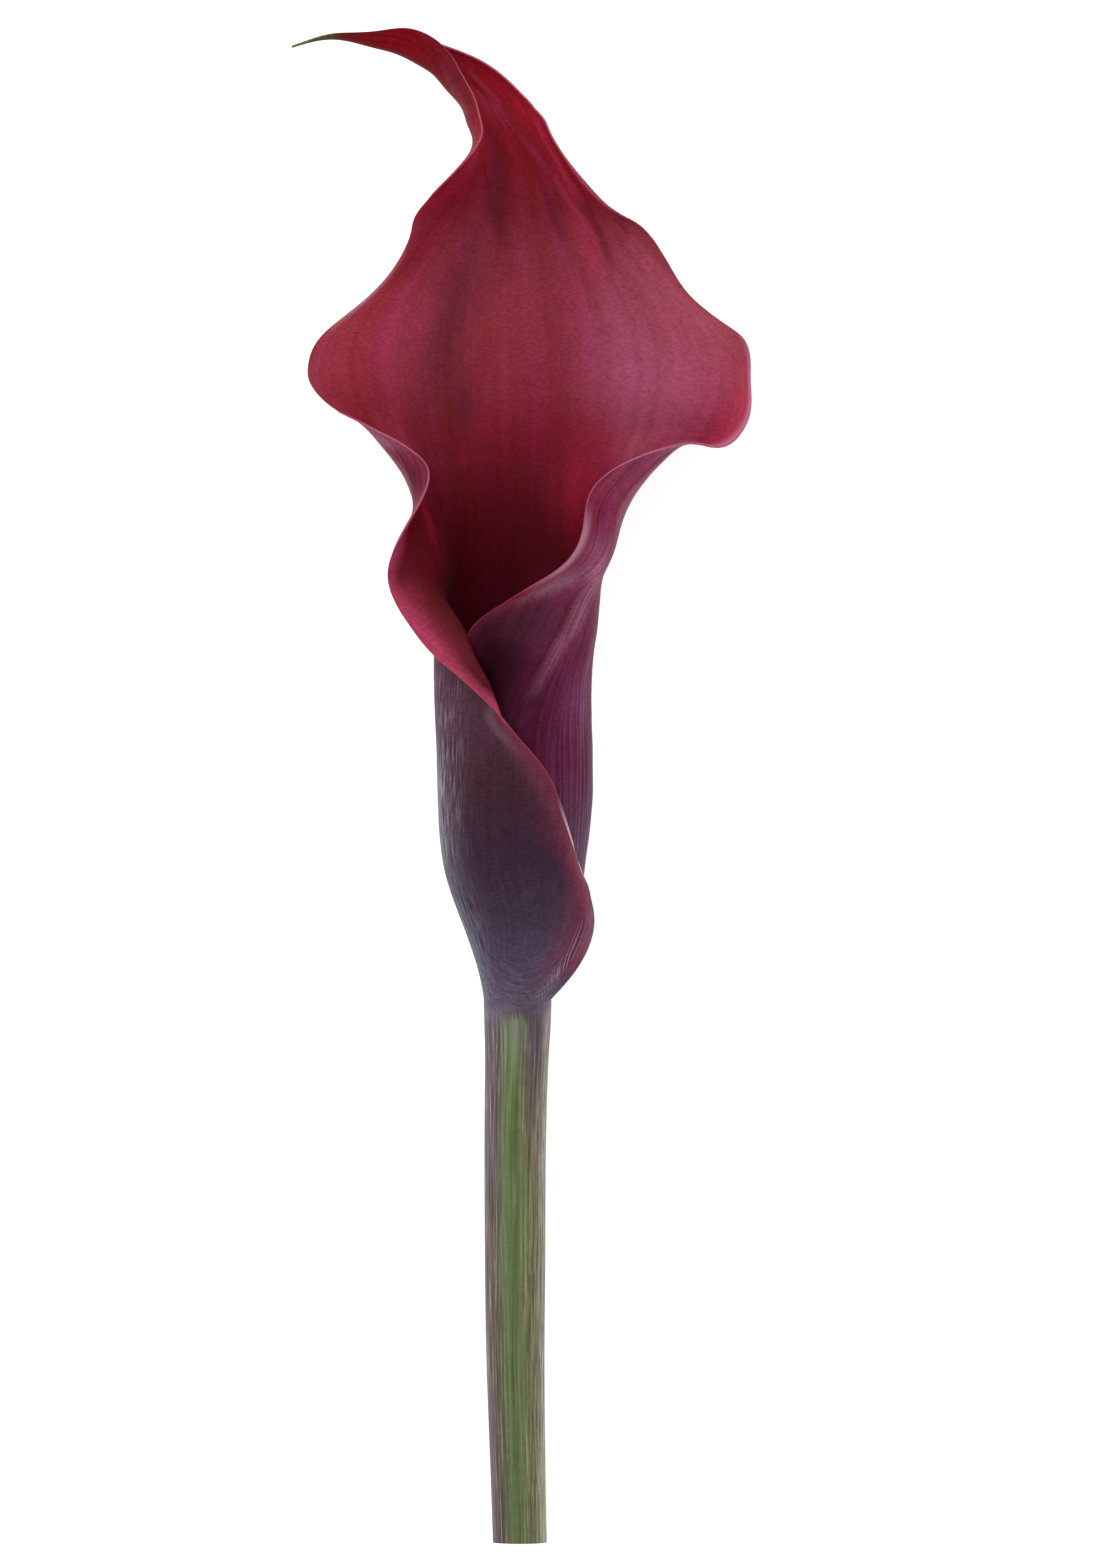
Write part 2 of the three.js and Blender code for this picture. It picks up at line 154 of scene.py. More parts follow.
# Station, centre, radii, left and right half as crest angle and lip, lap, and shares on the right
TUBE_ROWS = (
    (0, (0, 9.2), (4.42, 4.42), (225, (1.2, -1.5)), (150, (-0.5, 0.6)), 0.08),
    (4, (0.1, 9.6), (5.15, 5.1), (232, (3.2, -1.2)), (165, (-1.2, 0.8)), 0.6),
    (10, (0.3, 10.6), (7.2, 6.8), (236, (3.2, -2.2)), (180, (-2, 0.2)), 0.7),
    (17.5, (-0.3, 11.7), (9.1, 8.9), (226, (1.6, -4)), (190, (-3, -0.6)), 0.9),
    (27, (-0.2, 12.3), (10, 10), (192, (3.6, -1)), (195, (-3.5, -1))),
    (35, (-0.3, 12.3), (10.1, 10.2), (172, (3, 0.4)), (197, (-3.5, -1.2))),
    (41, (-0.3, 12.3), (10, 10.2), (163, (-1.9, 0.9)), (197, (-3.5, -1.4)), 1, (0, 0.37, 0.715, 1)),
    (46, (-0.2, 12.4), (10.1, 10.3), (147, (-4.8, 0.6)), (197, (-3.5, -1.5)), 1, (0, 0.355, 0.695, 1)),
    (50, (0, 12.5), (10.3, 10.3), (133, (-6.3, -0.2)), (197, (-3.4, -1.8)), 1, (0, 0.33, 0.66, 1)),
)
# Station, points on the left, midrib, points on the right, and leads
THROAT_ROWS = (
    (57.4, [(-8.7, 6), (-10.2, 16), (-14.2, 19.8), (-17.4, 19)], (0.3, 2.1),
     [(9.3, 5.6), (11.3, 14.2), (9, 20), (4.9, 21.6)]),
    (66, [(-9, 5), (-12.6, 12), (-13.9, 17.1), (-13.6, 20.2)], (0.5, 1.75),
     [(9.6, 4.6), (14.2, 12), (12.4, 17.8), (9.2, 20)]),
    (72, [(-10.2, 4.2), (-15.4, 10.3), (-15, 16), (-12.2, 18.6)], (0.5, 1.7),
     [(10.8, 4), (17.8, 9.8), (17.4, 15.6), (13.9, 18.2)]),
    (75, [(-11, 3.8), (-17.2, 8.8), (-17.4, 13.7), (-14.8, 16.7)], (0.5, 1.67),
     [(11.8, 3.6), (20, 8.2), (22, 12.7), (21.3, 15.5)], (-0.6, -0.2)),
    (76, [(-11.2, 3.7), (-17.8, 8.3), (-18.4, 12.9), (-16.2, 15.8)], (0.5, 1.66),
     [(12, 3.5), (20.5, 7.8), (23.5, 11.8), (23.8, 14.4)], (-0.7, -0.9)),
    (77, [(-11.3, 3.6), (-18.2, 7.8), (-19.4, 12), (-17.8, 14.6)], (0.5, 1.65),
     [(12.2, 3.4), (21, 7.5), (24.8, 11), (25.9, 13.2)], (-0.9, -2.3)),
    (81.5, [(-10.8, 3.2), (-19.5, 7), (-24.4, 8.8), (-25.8, 7.6)], (0.5, 1.65),
     [(12, 3.2), (21.8, 7.8), (28.2, 9), (31, 7.4)], (-0.5, -3.6)),
    (87, [(-10.5, 2.8), (-20, 6), (-26.4, 4.7), (-28.4, 1.55)], (0.5, 1.65),
     [(11.5, 2.8), (22, 6.4), (29.3, 4.9), (31.6, 1.55)], (-1.3, -3)),
    (92, [(-9.8, 2.5), (-18.5, 4.8), (-24.4, 3.7), (-26.7, 1.4)], (0.4, 1.65),
     [(10.8, 2.5), (20.5, 5.2), (27.6, 3.8), (30.6, 1.45)], (-2.2, -2.4)),
    (94, [(-9.4, 2.45), (-17.6, 4.5), (-22.9, 3.7), (-25, 1.9)], (0.35, 1.66),
     [(10.4, 2.45), (19.4, 4.9), (25.7, 3.9), (28.6, 2)], (-2.6, -2.85)),
    (97.5, [(-8.6, 2.4), (-15.5, 4.4), (-19.6, 4), (-21.1, 2.9)], (0.3, 1.75),
     [(9.6, 2.4), (17.2, 4.6), (22, 4.2), (24, 3.1)], (-3, -2.8)),
    (102, [(-7.2, 2.5), (-12.4, 4.6), (-15.4, 5.2), (-16.3, 4.6)], (0.3, 2),
     [(8.9, 2.4), (15, 4.7), (18.9, 4.7), (20.5, 4.3)], (-2.2, -2.4)),
    (105.5, [(-6.4, 2.8), (-10.8, 5), (-13.6, 6.3), (-14.4, 5.9)], (0.2, 2.2),
     [(8, 2.6), (12.9, 4.6), (15.7, 5), (16.8, 5.4)], (-1.6, -0.9)),
    (109, [(-5.5, 3.2), (-9.2, 5.9), (-12.1, 7.6), (-13.1, 7.2)], (0.2, 2.5),
     [(6.6, 2.8), (10.2, 4.5), (11.5, 5.6), (11.6, 6.6)], (-2, -1.4)),
)
# Station, place of the turned section, its turn in degrees, and points on the left, midrib and right
TAIL_ROWS = (
    (113.5, (-6.2, 114.6), 4, [(2.2, 4.2), (0.3, 7.2), (-0.1, 9.6), (0.2, 11)],
     (5.6, 3), [(8.9, 3.1), (10.8, 4.3), (11.6, 5.4), (11.7, 6.2)]),
    (118, (-7, 118.4), 15, [(1.1, 5.4), (0.4, 8.2), (0.9, 10.8), (2, 12.2)],
     (3.6, 4), [(5.7, 3.6), (7.7, 4.2), (8.9, 4.9), (9.3, 5.6)]),
    (121.5, (-7.9, 120.8), 31, [(0.8, 6.2), (0.4, 8.8), (1.1, 11), (2.3, 11.8)],
     (2.7, 4.8), [(4.2, 4.4), (5.8, 4.7), (6.7, 5.1), (7, 5.7)]),
    (124.5, (-9.8, 122.9), 42, [(0.7, 6.9), (0.5, 9.2), (1.7, 10.8), (3.1, 11.2)],
     (2, 5.6), [(3.4, 5.1), (4.7, 5.2), (5.6, 5.5), (5.9, 6)]),
    (127.5, (-11.5, 124.7), 49, [(0.6, 7.6), (0.8, 9.4), (2.4, 10.4), (3.9, 10.4)],
     (1.5, 6.4), [(2.6, 5.8), (3.9, 5.8), (4.6, 6), (4.9, 6.4)]),
    (130.5, (-13.7, 126.1), 59, [(0.5, 8.2), (1.2, 9.6), (3, 10), (4.5, 9.6)],
     (1, 7), [(1.9, 6.3), (3, 6.3), (3.7, 6.5), (4.1, 6.9)]),
    (133.5, (-16.4, 127.5), 67, [(0.5, 8.4), (1.4, 9.4), (2.9, 9.7), (4.1, 9.4)],
     (0.7, 7.4), [(1.4, 6.8), (2.2, 6.7), (2.9, 6.8), (3.3, 7.1)]),
    (137, (-19.9, 128.5), 74, [(0.45, 8.4), (0.9, 9.1), (1.7, 9.4), (2.5, 9.3)],
     (0.5, 7.7), [(0.8, 7.1), (1.3, 6.9), (1.8, 6.9), (2.1, 7.1)]),
    (141.5, (-24.6, 129.6), 86, [(0.42, 8.16), (0.6, 8.49), (0.85, 8.76), (1.05, 8.9)],
     (0.35, 7.8), [(0.38, 7.44), (0.5, 7.11), (0.65, 6.84), (0.78, 6.7)]),
    (145, (-27.9, 129.4), 96, [(0.22, 8.03), (0.28, 8.24), (0.36, 8.41), (0.42, 8.5)],
     (0.2, 7.8), [(0.22, 7.57), (0.26, 7.36), (0.31, 7.19), (0.35, 7.1)]),
    (148, (-30.5, 128.75), 104, [(0.11, 7.93), (0.12, 8.05), (0.14, 8.15), (0.15, 8.2)],
     (0.1, 7.8), [(0.11, 7.67), (0.12, 7.55), (0.14, 7.45), (0.15, 7.4)]),
)
SECTIONS = [
    *(tube_section(*row) for row in TUBE_ROWS),
    *(throat_section(*row) for row in THROAT_ROWS),
    *(tail_section(*row) for row in TAIL_ROWS),
]
TIP_STATION = SECTIONS[-1][0]


# Materials
def tint(code):
    """A colour written as on a paint chart, as linear light"""
    parts = [int(code[i:i + 2], 16) / 255 for i in (0, 2, 4)]
    return (*(p / 12.92 if p <= 0.04045 else ((p + 0.055) / 1.055) ** 2.4 for p in parts), 1)


class Finish:
    """A node material under construction, on which each wash changes the colour so far"""

    def __init__(self, name, roughness, **constants):
        self.colour = None
        self.material = bpy.data.materials.new(name)
        self.material.use_nodes = True
        self.tree = self.material.node_tree
        self.surface = self.tree.nodes["Principled BSDF"]
        self.surface.inputs["Roughness"].default_value = roughness
        for socket, value in constants.items():
            self.surface.inputs[socket.replace("_", " ")].default_value = value

    def add(self, kind, inputs=(), **settings):
        node = self.tree.nodes.new("ShaderNode" + kind)
        for name, value in settings.items():
            setattr(node, name, value)
        for socket, value in dict(inputs).items():
            if isinstance(value, bpy.types.NodeSocket):
                self.tree.links.new(value, node.inputs[socket])
            else:
                node.inputs[socket].default_value = value
        return node

    def math(self, operation, a, b=0):
        return self.add("Math", {0: a, 1: b}, operation=operation).outputs[0]

    def times(self, first, *others):
        for other in others:
            first = self.math("MULTIPLY", first, other)
        return first

    def plus(self, first, *others):
        for other in others:
            first = self.math("ADD", first, other)
        return first

    def rise(self, value, low, high):
        """Goes smoothly from 0 at low to 1 at high"""
        start, end = (0, 1) if low < high else (1, 0)
        sockets = {0: value, 1: min(low, high), 2: max(low, high), 3: start, 4: end}
        node = self.add("MapRange", sockets, interpolation_type="SMOOTHSTEP")
        return node.outputs[0]

    def span(self, value, start, full, fade, end):
        """Goes smoothly from 0 at start to 1 at full, and from 1 at fade to 0 at end"""
        return self.times(self.rise(value, start, full), self.rise(value, end, fade))

    def ridge(self, value, middle, reach):
        """Is 1 at the middle and falls smoothly to 0 at the reach on either side"""
        away = self.math("ABSOLUTE", self.math("SUBTRACT", value, middle))
        return self.rise(away, reach, 0)

    def patch(self, place, x, y, width, height, turn):
        """A soft oval: 1 at its centre and 0 at its reach each way, turned by so many degrees"""
        settings = {"Location": (x, y, 0), "Rotation": (0, 0, math.radians(turn)),
                    "Scale": (width, height, 1)}
        local = self.add("Mapping", {"Vector": place, **settings}, vector_type="TEXTURE")
        away = self.add("VectorMath", {0: local.outputs[0]}, operation="LENGTH")
        return self.rise(away.outputs["Value"], 1, 0)

    def curve(self, value, points):
        """Follows a smooth curve through the points given, over values from 0 to 1"""
        node = self.add("FloatCurve", {"Value": value})
        line = node.mapping.curves[0]
        for end, point in ((0, points[0]), (1, points[-1])):
            line.points[end].location = point
        for point in points[1:-1]:
            line.points.new(*point)
        node.mapping.update()
        return node.outputs[0]

    def stroke(self, across, along, points):
        """A soft stroke down the sheet, through points of station, place across, reach and strength"""
        first, last = points[0][0], points[-1][0]
        share = self.add("MapRange", {0: along, 1: first, 2: last}).outputs[0]
        # a curve holds values from 0 to 1 only, so the place across is drawn in for it and out again
        rows = [((at - first) / (last - first), place / 2 + 0.5, reach, strength)
                for at, place, reach, strength in points]
        place, reach, strength = (self.curve(share, [(row[0], row[i]) for row in rows]) for i in (1, 2, 3))
        off = self.plus(across, self.plus(self.times(place, -2), 1))
        away = self.math("DIVIDE", self.math("ABSOLUTE", off), reach)
        return self.times(self.rise(away, 1, 0), strength)

    def blend(self, amount, a, b):
        return self.add("Mix", {0: amount, 6: a, 7: b}, data_type="RGBA").outputs[2]

    def wash(self, mask, strength, code):
        """Lays a thin wash of another colour over what is there"""
        self.colour = self.blend(self.times(mask, strength), self.colour, tint(code))

    def ovals(self, place, rows):
        for *oval, strength, code in rows:
            self.wash(self.patch(place, *oval), strength, code)

    def strokes(self, across, along, rows):
        for strength, code, points in rows:
            self.wash(self.stroke(across, along, points), strength, code)

    def vary(self, value, hue=0.5):
        """Makes the colour lighter or darker by a factor, and turns its hue a little away from 0.5"""
        sockets = {"Hue": hue, "Value": value, "Color": self.colour}
        self.colour = self.add("HueSaturation", sockets).outputs[0]

    def ramp(self, value, stops):
        node = self.add("ValToRGB", {0: value})
        elements = node.color_ramp.elements
        elements.remove(elements[1])
        for i, (place, code) in enumerate(stops):
            element = elements[0] if i == 0 else elements.new(place)
            element.position = place
            element.color = tint(code)
        return node.outputs[0]

    def join(self, x, y, z=0):
        return self.add("CombineXYZ", {0: x, 1: y, 2: z}).outputs[0]

    def noise(self, vector, scale, detail=2, roughness=0.5):
        sockets = {"Vector": vector, "Scale": scale, "Detail": detail, "Roughness": roughness}
        return self.add("TexNoise", sockets).outputs[0]

    def streaks(self, across, along, per_unit, length, detail=3):
        """Noise drawn out lengthwise: so many streaks to a unit across, each so long"""
        return self.noise(self.join(self.times(across, per_unit), self.times(along, 1 / length)), 1, detail)

    def swing(self, value, reach):
        """Turns noise about 0.5 into a change of up to the reach either way"""
        return self.times(self.math("SUBTRACT", value, 0.5), 2 * reach)

    def mottle(self, blotch_reach, grain_reach):
        """Soft blotches of a millimetre or two, and a fine grain that runs from side to side"""
        place = self.own_place()
        blotch = self.noise(place, 560, 4, 0.65)
        x, y, z = self.split(place)
        fine = self.join(self.times(x, 1700), self.times(y, 3600), self.times(z, 1700))
        grain = self.noise(fine, 1)
        self.vary(self.plus(1, self.swing(blotch, blotch_reach), self.swing(grain, grain_reach)))
        return grain

    def own_place(self):
        return self.add("TexCoord").outputs["Object"]

    def own_uv(self):
        return self.split(self.add("UVMap", uv_map="UVMap").outputs[0])

    def attribute(self, name):
        return self.add("Attribute", attribute_name=name).outputs["Fac"]

    def split(self, vector):
        return self.add("SeparateXYZ", {0: vector}).outputs

    def bump(self, height, distance, strength, normal=None):
        sockets = {"Height": height, "Distance": distance, "Strength": strength}
        if normal is not None:
            sockets["Normal"] = normal
        return self.add("Bump", sockets).outputs[0]

    def finish(self, normal=None):
        self.tree.links.new(self.colour, self.surface.inputs["Base Color"])
        if normal is not None:
            self.tree.links.new(normal, self.surface.inputs["Normal"])
        return self.material


HALF_SHEET = 30.0     # half the sheet's width in millimetres at the lobes, for patches of colour


def sheet_place(f):
    """Where a point lies on the sheet: from -1 to 1 across it, and its station in millimetres"""
    u, v, _ = f.own_uv()
    across = f.math("SUBTRACT", f.times(u, 2), 1)
    along = f.times(v, TIP_STATION)
    return across, along, f.join(f.times(across, HALF_SHEET), along)


def by_station(f, along, *stops):
    """A colour that changes along the sheet, given by station"""
    share = f.times(along, 1 / TIP_STATION)
    return f.ramp(share, [(station / TIP_STATION, code) for station, code in stops])


def foot_ripples(f, mask):
    """Faint ripples that sag from side to side where the spathe meets the stem"""
    x, y, _ = f.split(f.own_place())
    sagging = f.plus(y, f.times(x, x, -120))
    ripples = f.noise(f.join(f.times(x, 350), f.times(sagging, 3200)), 1)
    f.vary(f.plus(1, f.times(mask, f.swing(ripples, 0.7))))


# Soft ovals of colour on the sheet: place across and station of the centre, reach both ways, turn in
# degrees, strength and colour. Strokes: strength, colour, and points of station, place across, reach
# and strength.
INNER_OVALS = (
    # the left lobe, then the right one
    (-26, 91, 19, 24, 0, 1, "8a2c39"),
    (-16, 92, 8, 13, 0, 0.7, "9c3250"),
    (-28.5, 86, 6, 17, 0, 0.75, "77202c"),
    (-22, 102, 7, 6, 0, 0.6, "741222"),
    (-28.5, 98, 3.5, 7, 0, 0.6, "9a7880"),
    (16, 86, 13, 20, 0, 1, "a04866"),
    (24, 96, 14, 17, 0, 0.9, "9a4658"),
    (28, 82, 3.5, 11, 0, 0.7, "a83454"),
    # the fold left of the middle, darker in colour and with painted shade in its valley, and smaller dark
    # and bright places on both lobes
    (-9.5, 91, 5.5, 26, -6, 0.7, "5f1a24"),
    (-6.7, 80.5, 3, 8, 0, 0.55, "4c1018"),
    (-12, 98.5, 4, 6, 0, 0.35, "640e22"),
    (-24, 81, 5, 5, 0, 0.4, "681824"),
    (14, 74.5, 4.5, 4, 0, 0.4, "b04c66"),
    (9.5, 103, 5, 6, 0, 0.25, "b43a54"),
    # the neck, starting with a painted shadow beside the left margin where it curls over
    (-6, 112, 6, 12, 22, 0.7, "5e0a1a"),
    (22, 118, 14, 12, 0, 0.8, "a3222f"),
    (-20, 115, 9, 6, 0, 0.7, "9c2a40"),
    (4.5, 120, 7, 4, 0, 0.7, "a42e4c"),
    (22, 105.5, 2, 9, -62, 0.4, "701424"),
    (19, 113, 2.5, 12, -60, 0.7, "a82c44"),
)
NECK_HIGHLIGHT_AND_SHADE_STROKES = (
    # a painted highlight along a brighter ridge, then painted shade in the creases on the left, in the
    # middle and on the right
    (0.45, "a82c4c", ((125, 0.5, 0.1, 0), (121, 0.4, 0.14, 1), (117, 0.2, 0.14, 0.7),
                       (112, 0.3, 0.1, 0.5), (109, 0.34, 0.08, 1), (103, 0.4, 0.1, 1),
                       (97, 0.36, 0.12, 0))),
    (0.45, "4a0612", ((114, -0.54, 0.04, 0), (112, -0.38, 0.05, 0.9), (110, -0.25, 0.06, 1),
                       (107, -0.15, 0.08, 1), (102.5, -0.09, 0.08, 0.6), (96, -0.07, 0.1, 0))),
    (0.6, "560c1c", ((113, 0.14, 0.04, 0), (110, 0.175, 0.05, 0.8), (106, 0.2, 0.05, 1),
                      (103, 0.23, 0.05, 0.6), (99, 0.25, 0.06, 0))),
    (0.6, "5c0410", ((116, 0.85, 0.06, 0), (113, 0.7, 0.07, 0.8), (110.5, 0.6, 0.06, 1),
                      (107, 0.49, 0.05, 1), (103.5, 0.48, 0.05, 0.8), (99, 0.5, 0.05, 0))),
)
THROAT_OVALS = (
    # a painted glow of light through the wall low on the right, and the flaps that turn out at the sides
    (8, 70, 7, 12, 0, 0.85, "8c1430"),
    (4, 56, 5, 5, 0, 0.6, "660e24"),
    (-18, 74, 6, 9, 0, 0.45, "94424e"),
    (-19.5, 66, 3, 7, 0, 0.7, "84182c"),
    (25.5, 73, 9, 5, 0, 0.85, "9c6470"),
    (-27, 70, 12, 7, 0, 0.8, "7a1828"),
    (-27, 50, 4, 14, 0, 0.7, "5c1c1e"),
)
FLAP_OVALS = (
    # the right flap: black-red painted shade where it dives under the left one, dusky above, and a painted
    # pale highlight where it turns
    (28, 44, 9, 16, -4, 1, "180006"),
    (25.5, 47, 5, 9, 0, 0.55, "1c0008"),
    (21.5, 38, 3.5, 11, 0, 0.6, "3a0c1c"),
    (28.5, 48, 4, 5, 0, 0.9, "2c0610"),
    (16.5, 40, 3, 8, 0, 0.4, "7a4068"),
    (25, 60, 6, 8, -20, 0.5, "7a3850"),
    (26.5, 59.5, 2.5, 4, 0, 0.35, "5c2840"),
    (27.5, 56, 3.5, 3.5, 0, 0.35, "9a7484"),
    (22.8, 51, 4.5, 6, 0, 0.6, "3c1e2a"),
    (28, 65.5, 3, 4, 0, 0.6, "6a1a34"),
    (23, 66, 2, 9, 0, 0.3, "8c7480"),
    # the left flap above the throat: crimson between greyer edges
    (-27, 70.5, 3.5, 6, 0, 0.75, "4e0a20"),
    (-26.5, 76.5, 5, 3, 0, 0.35, "8c7080"),
    (-24, 70, 1.6, 7, 0, 0.3, "7c6470"),
    (-25, 64.5, 3.5, 5, 0, 0.6, "4a1422"),
)
EDGE_OVALS = (
    # along the left margin: on the bulge, on the tube and on the tail
    (-28, 17, 3, 6, 0, 0.25, "8c1a34"),
    (-29, 30, 4, 13, 0, 0.4, "7c3a50"),
    (-24, 122, 4, 9, 0, 0.4, "7c3a3c"),
)
TAIL_STROKES = (
    # both darken its lower edge
    (0.9, "4a2422", ((104, -0.9, 0.1, 0), (109, -0.84, 0.12, 1), (116, -0.72, 0.12, 1),
                      (122, -0.62, 0.1, 1), (128, -0.52, 0.1, 0.8), (135, -0.42, 0.12, 0.4),
                      (142, -0.36, 0.2, 0))),
    (0.6, "50302c", ((110, -0.66, 0.06, 0), (114, -0.63, 0.07, 1), (120, -0.6, 0.08, 1),
                      (126, -0.55, 0.06, 0.6), (131, -0.5, 0.06, 0))),
)
# The strokes of painted highlight along the right flap's fold, and of the arcs on the bulge
FOLD_HIGHLIGHT_POINTS = (
    (40, 0.75, 0.04, 0), (43, 0.715, 0.04, 0.35), (47, 0.67, 0.04, 0.6), (50.4, 0.645, 0.045, 0.9),
    (53.4, 0.665, 0.06, 1), (56, 0.71, 0.1, 1), (59, 0.85, 0.12, 0.7), (63, 0.9, 0.1, 0),
)
ARC_POINTS = (
    (0, -0.84, 0.08, 0), (2, -0.88, 0.07, 1), (5, -0.92, 0.04, 1), (8, -0.925, 0.035, 0.8),
    (11, -0.925, 0.03, 0),
)


def inner_ground(f, across, along, place):
    """The colours of the inner side: the lobes, the neck with painted shade in its creases, and the throat,
    dark in colour and darker still with painted shade
    """
    # dark deep in the throat, in colour and with painted shade
    f.colour = by_station(
        f, along, (36, "2a060c"), (48, "480919"), (58, "500916"), (66, "5a0414"), (71, "66061a"),
        (77, "7b1026"), (82, "862236"), (93, "892a3c"), (101, "812637"), (107, "741526"),
        (113, "7e0c1e"), (119, "8a1226"), (128, "8c1824"), (136, "7a1c1e"), (142, "5c5a2b"))
    f.ovals(place, INNER_OVALS)
    f.strokes(across, along, NECK_HIGHLIGHT_AND_SHADE_STROKES)
    f.ovals(place, THROAT_OVALS)


def inner_lip(f, across, along, margin):
    """A brighter border inside the throat's margins"""
    beside = f.times(f.rise(margin, 6.5, 1.5), f.span(along, 42, 52, 54, 58), f.rise(across, 0, -0.5))
    f.wash(beside, 0.6, "8c2c40")
    narrow = f.plus(f.times(f.rise(along, 52, 57), 1.2), f.times(f.rise(along, 48, 42), 0.8))
    border = f.rise(f.times(margin, f.plus(1, narrow)), 4.4, 0.3)
    stronger_below = f.plus(0.65, f.times(f.rise(along, 58, 46), 0.55))
    lip = f.times(border, f.rise(along, 74, 64), stronger_below)
    f.wash(lip, 0.75, "ac3e5c")


def inner_velvet():
    f = Finish("spathe_inner_velvet", 0.55, Specular_IOR_Level=0.03, Sheen_Weight=0.03,
               Sheen_Roughness=0.35, Sheen_Tint=tint("f0b8c8"))
    across, along, place = sheet_place(f)
    vein = f.attribute("vein")
    margin = f.attribute("margin")
    inner_ground(f, across, along, place)
    inner_lip(f, across, along, margin)
    # soft bands that run lengthwise, some browner and some more purple
    bands = f.streaks(vein, along, 3.2, 70, 2)
    fine = f.streaks(vein, along, 15, 45)
    value = f.plus(1, f.swing(bands, 0.26), f.swing(fine, 0.2))
    f.vary(value, f.plus(0.5, f.swing(bands, -0.02)))
    # a faint cool bloom over the middle
    middle = f.times(f.rise(f.math("ABSOLUTE", across), 0.62, 0.45), f.rise(along, 56, 74))
    f.wash(middle, 0.01, "b8c8d8")
    grain = f.mottle(0.2, 0.4)
    # a painted pink highlight where the right lobe's margin turns down, and a thin paler line along every
    # margin
    rim_highlight = f.times(f.rise(margin, 1.4, 0.1), f.rise(across, 0.8, 0.95), f.span(along, 74, 78, 88, 94))
    f.wash(rim_highlight, 0.6, "cc7c96")
    f.wash(f.rise(margin, 0.22, 0), 0.7, "8c3a54")
    normal = f.bump(fine, 0.00003, 0.5, f.bump(grain, 0.00002, 0.6))
    return f.finish(normal)


def outer_ground(f, across, along, place, margin):
    """The colours of the outer side: the tube, the flaps at the throat, the bulge and the tail"""
    left = by_station(
        f, along, (0, "584a5c"), (5, "4a3c50"), (11, "3c2e3e"), (19, "352232"), (30, "3c222c"),
        (40, "4a2a3a"), (50, "562038"), (62, "5c1026"), (72, "70283c"), (80, "702838"),
        (104, "6c2430"), (115, "861f2a"), (121, "701f26"), (127, "66141c"), (134, "720610"),
        (139, "661014"), (142, "4a2c1e"))
    right = by_station(
        f, along, (0, "584a5c"), (8, "4c3d50"), (20, "54384c"), (32, "561f3c"), (44, "571c36"),
        (56, "6c2842"), (66, "74263e"), (76, "7c3850"), (96, "7c3044"), (115, "8a2c40"),
        (130, "6e1422"), (139, "661014"), (142, "4a2c1e"))
    f.colour = f.blend(f.rise(across, -0.2, 0.2), left, right)
    f.ovals(place, FLAP_OVALS)
    # the bulge over the stem is crimson towards the sheet's left margin, with a painted highlight along it
    left_half = f.rise(across, 0, -0.5)
    bulge = f.times(f.rise(margin, 8, 0.5), f.span(along, 1, 6, 19, 29), left_half)
    f.wash(bulge, 0.55, "7c2844")
    pale_highlight = f.times(f.rise(margin, 2.4, 0.2), f.span(along, 4, 9, 11, 16), left_half)
    f.wash(pale_highlight, 0.35, "a07484")
    f.ovals(place, EDGE_OVALS)
    f.strokes(across, along, TAIL_STROKES)
    f.wash(f.rise(along, 140.5, 144.5), 1, "4c4e2c")


def outer_lines(f, across, along, vein):
    """Fine lines that run lengthwise, and lean over the right flap towards the fold"""
    lean = f.times(f.rise(across, 0.5, 0.68), f.rise(along, 32, 66))
    flow = f.plus(vein, lean)
    right_side = f.rise(across, 0.3, 0.5)
    broad = f.streaks(flow, along, 9, 45)
    value = f.plus(1, f.times(right_side, f.swing(broad, 0.45)))
    f.vary(value, f.plus(0.5, f.times(right_side, f.swing(broad, -0.05))))
    fine = f.streaks(flow, along, 22, 40, 2)
    hair = f.streaks(flow, along, 46, 22, 2)
    # a painted highlight along the ridge of the fold where the right flap turns out, laid in pale threads
    fold_highlight = f.stroke(across, along, FOLD_HIGHLIGHT_POINTS)
    fold_highlight = f.times(fold_highlight, f.plus(0.3, f.times(f.rise(hair, 0.42, 0.6), 0.7)))
    f.wash(fold_highlight, 0.65, "a8708c")
    # the lines are faint near the tube's margins and clear on the rest
    clear = f.plus(0.25, f.times(f.rise(f.math("ABSOLUTE", f.plus(across, -0.05)), 0.68, 0.54), 0.75))
    clear = f.math("MAXIMUM", clear, f.times(f.rise(along, 60, 66), 0.8))
    value = f.plus(1, f.times(clear, f.swing(fine, 0.9)), f.times(clear, f.swing(hair, 1)))
    f.vary(value)
    return fine, hair


def tube_wax_and_sheen(f, along, vein, left_side):
    """Wax on the left edge of the tube, white and dark in turn, and bluish towards the stem, with a painted
    sheen near the silhouette
    """
    silvery = f.times(f.ridge(vein, -1.8, 0.9), left_side)
    wax = f.times(silvery, f.span(along, 12, 24, 26, 56))
    f.wash(wax, 0.1, "80727e")
    f.wash(f.times(wax, f.rise(along, 36, 26)), 0.12, "8e8e98")
    threads = f.streaks(vein, along, 84, 4.5, 2)
    dark_threads = f.rise(threads, 0.48, 0.4)
    f.wash(f.times(wax, f.rise(threads, 0.5, 0.62)), 0.6, "a8a2ac")
    f.wash(f.times(wax, dark_threads), 0.7, "2c1c28")
    # a painted sheen close to the silhouette, laid in light threads with dark ones between
    shine = f.times(f.ridge(vein, -1.88, 0.3), left_side, f.span(along, 16, 22, 29, 36))
    f.wash(f.times(shine, f.rise(threads, 0.48, 0.58)), 0.4, "b8bcc2")
    f.wash(f.times(shine, dark_threads), 0.35, "2c2428")
    flecks = f.rise(f.streaks(vein, along, 30, 3), 0.35, 0.65)
    low = f.times(silvery, f.rise(along, 24, 10), flecks)
    f.wash(low, 0.65, "7a8090")


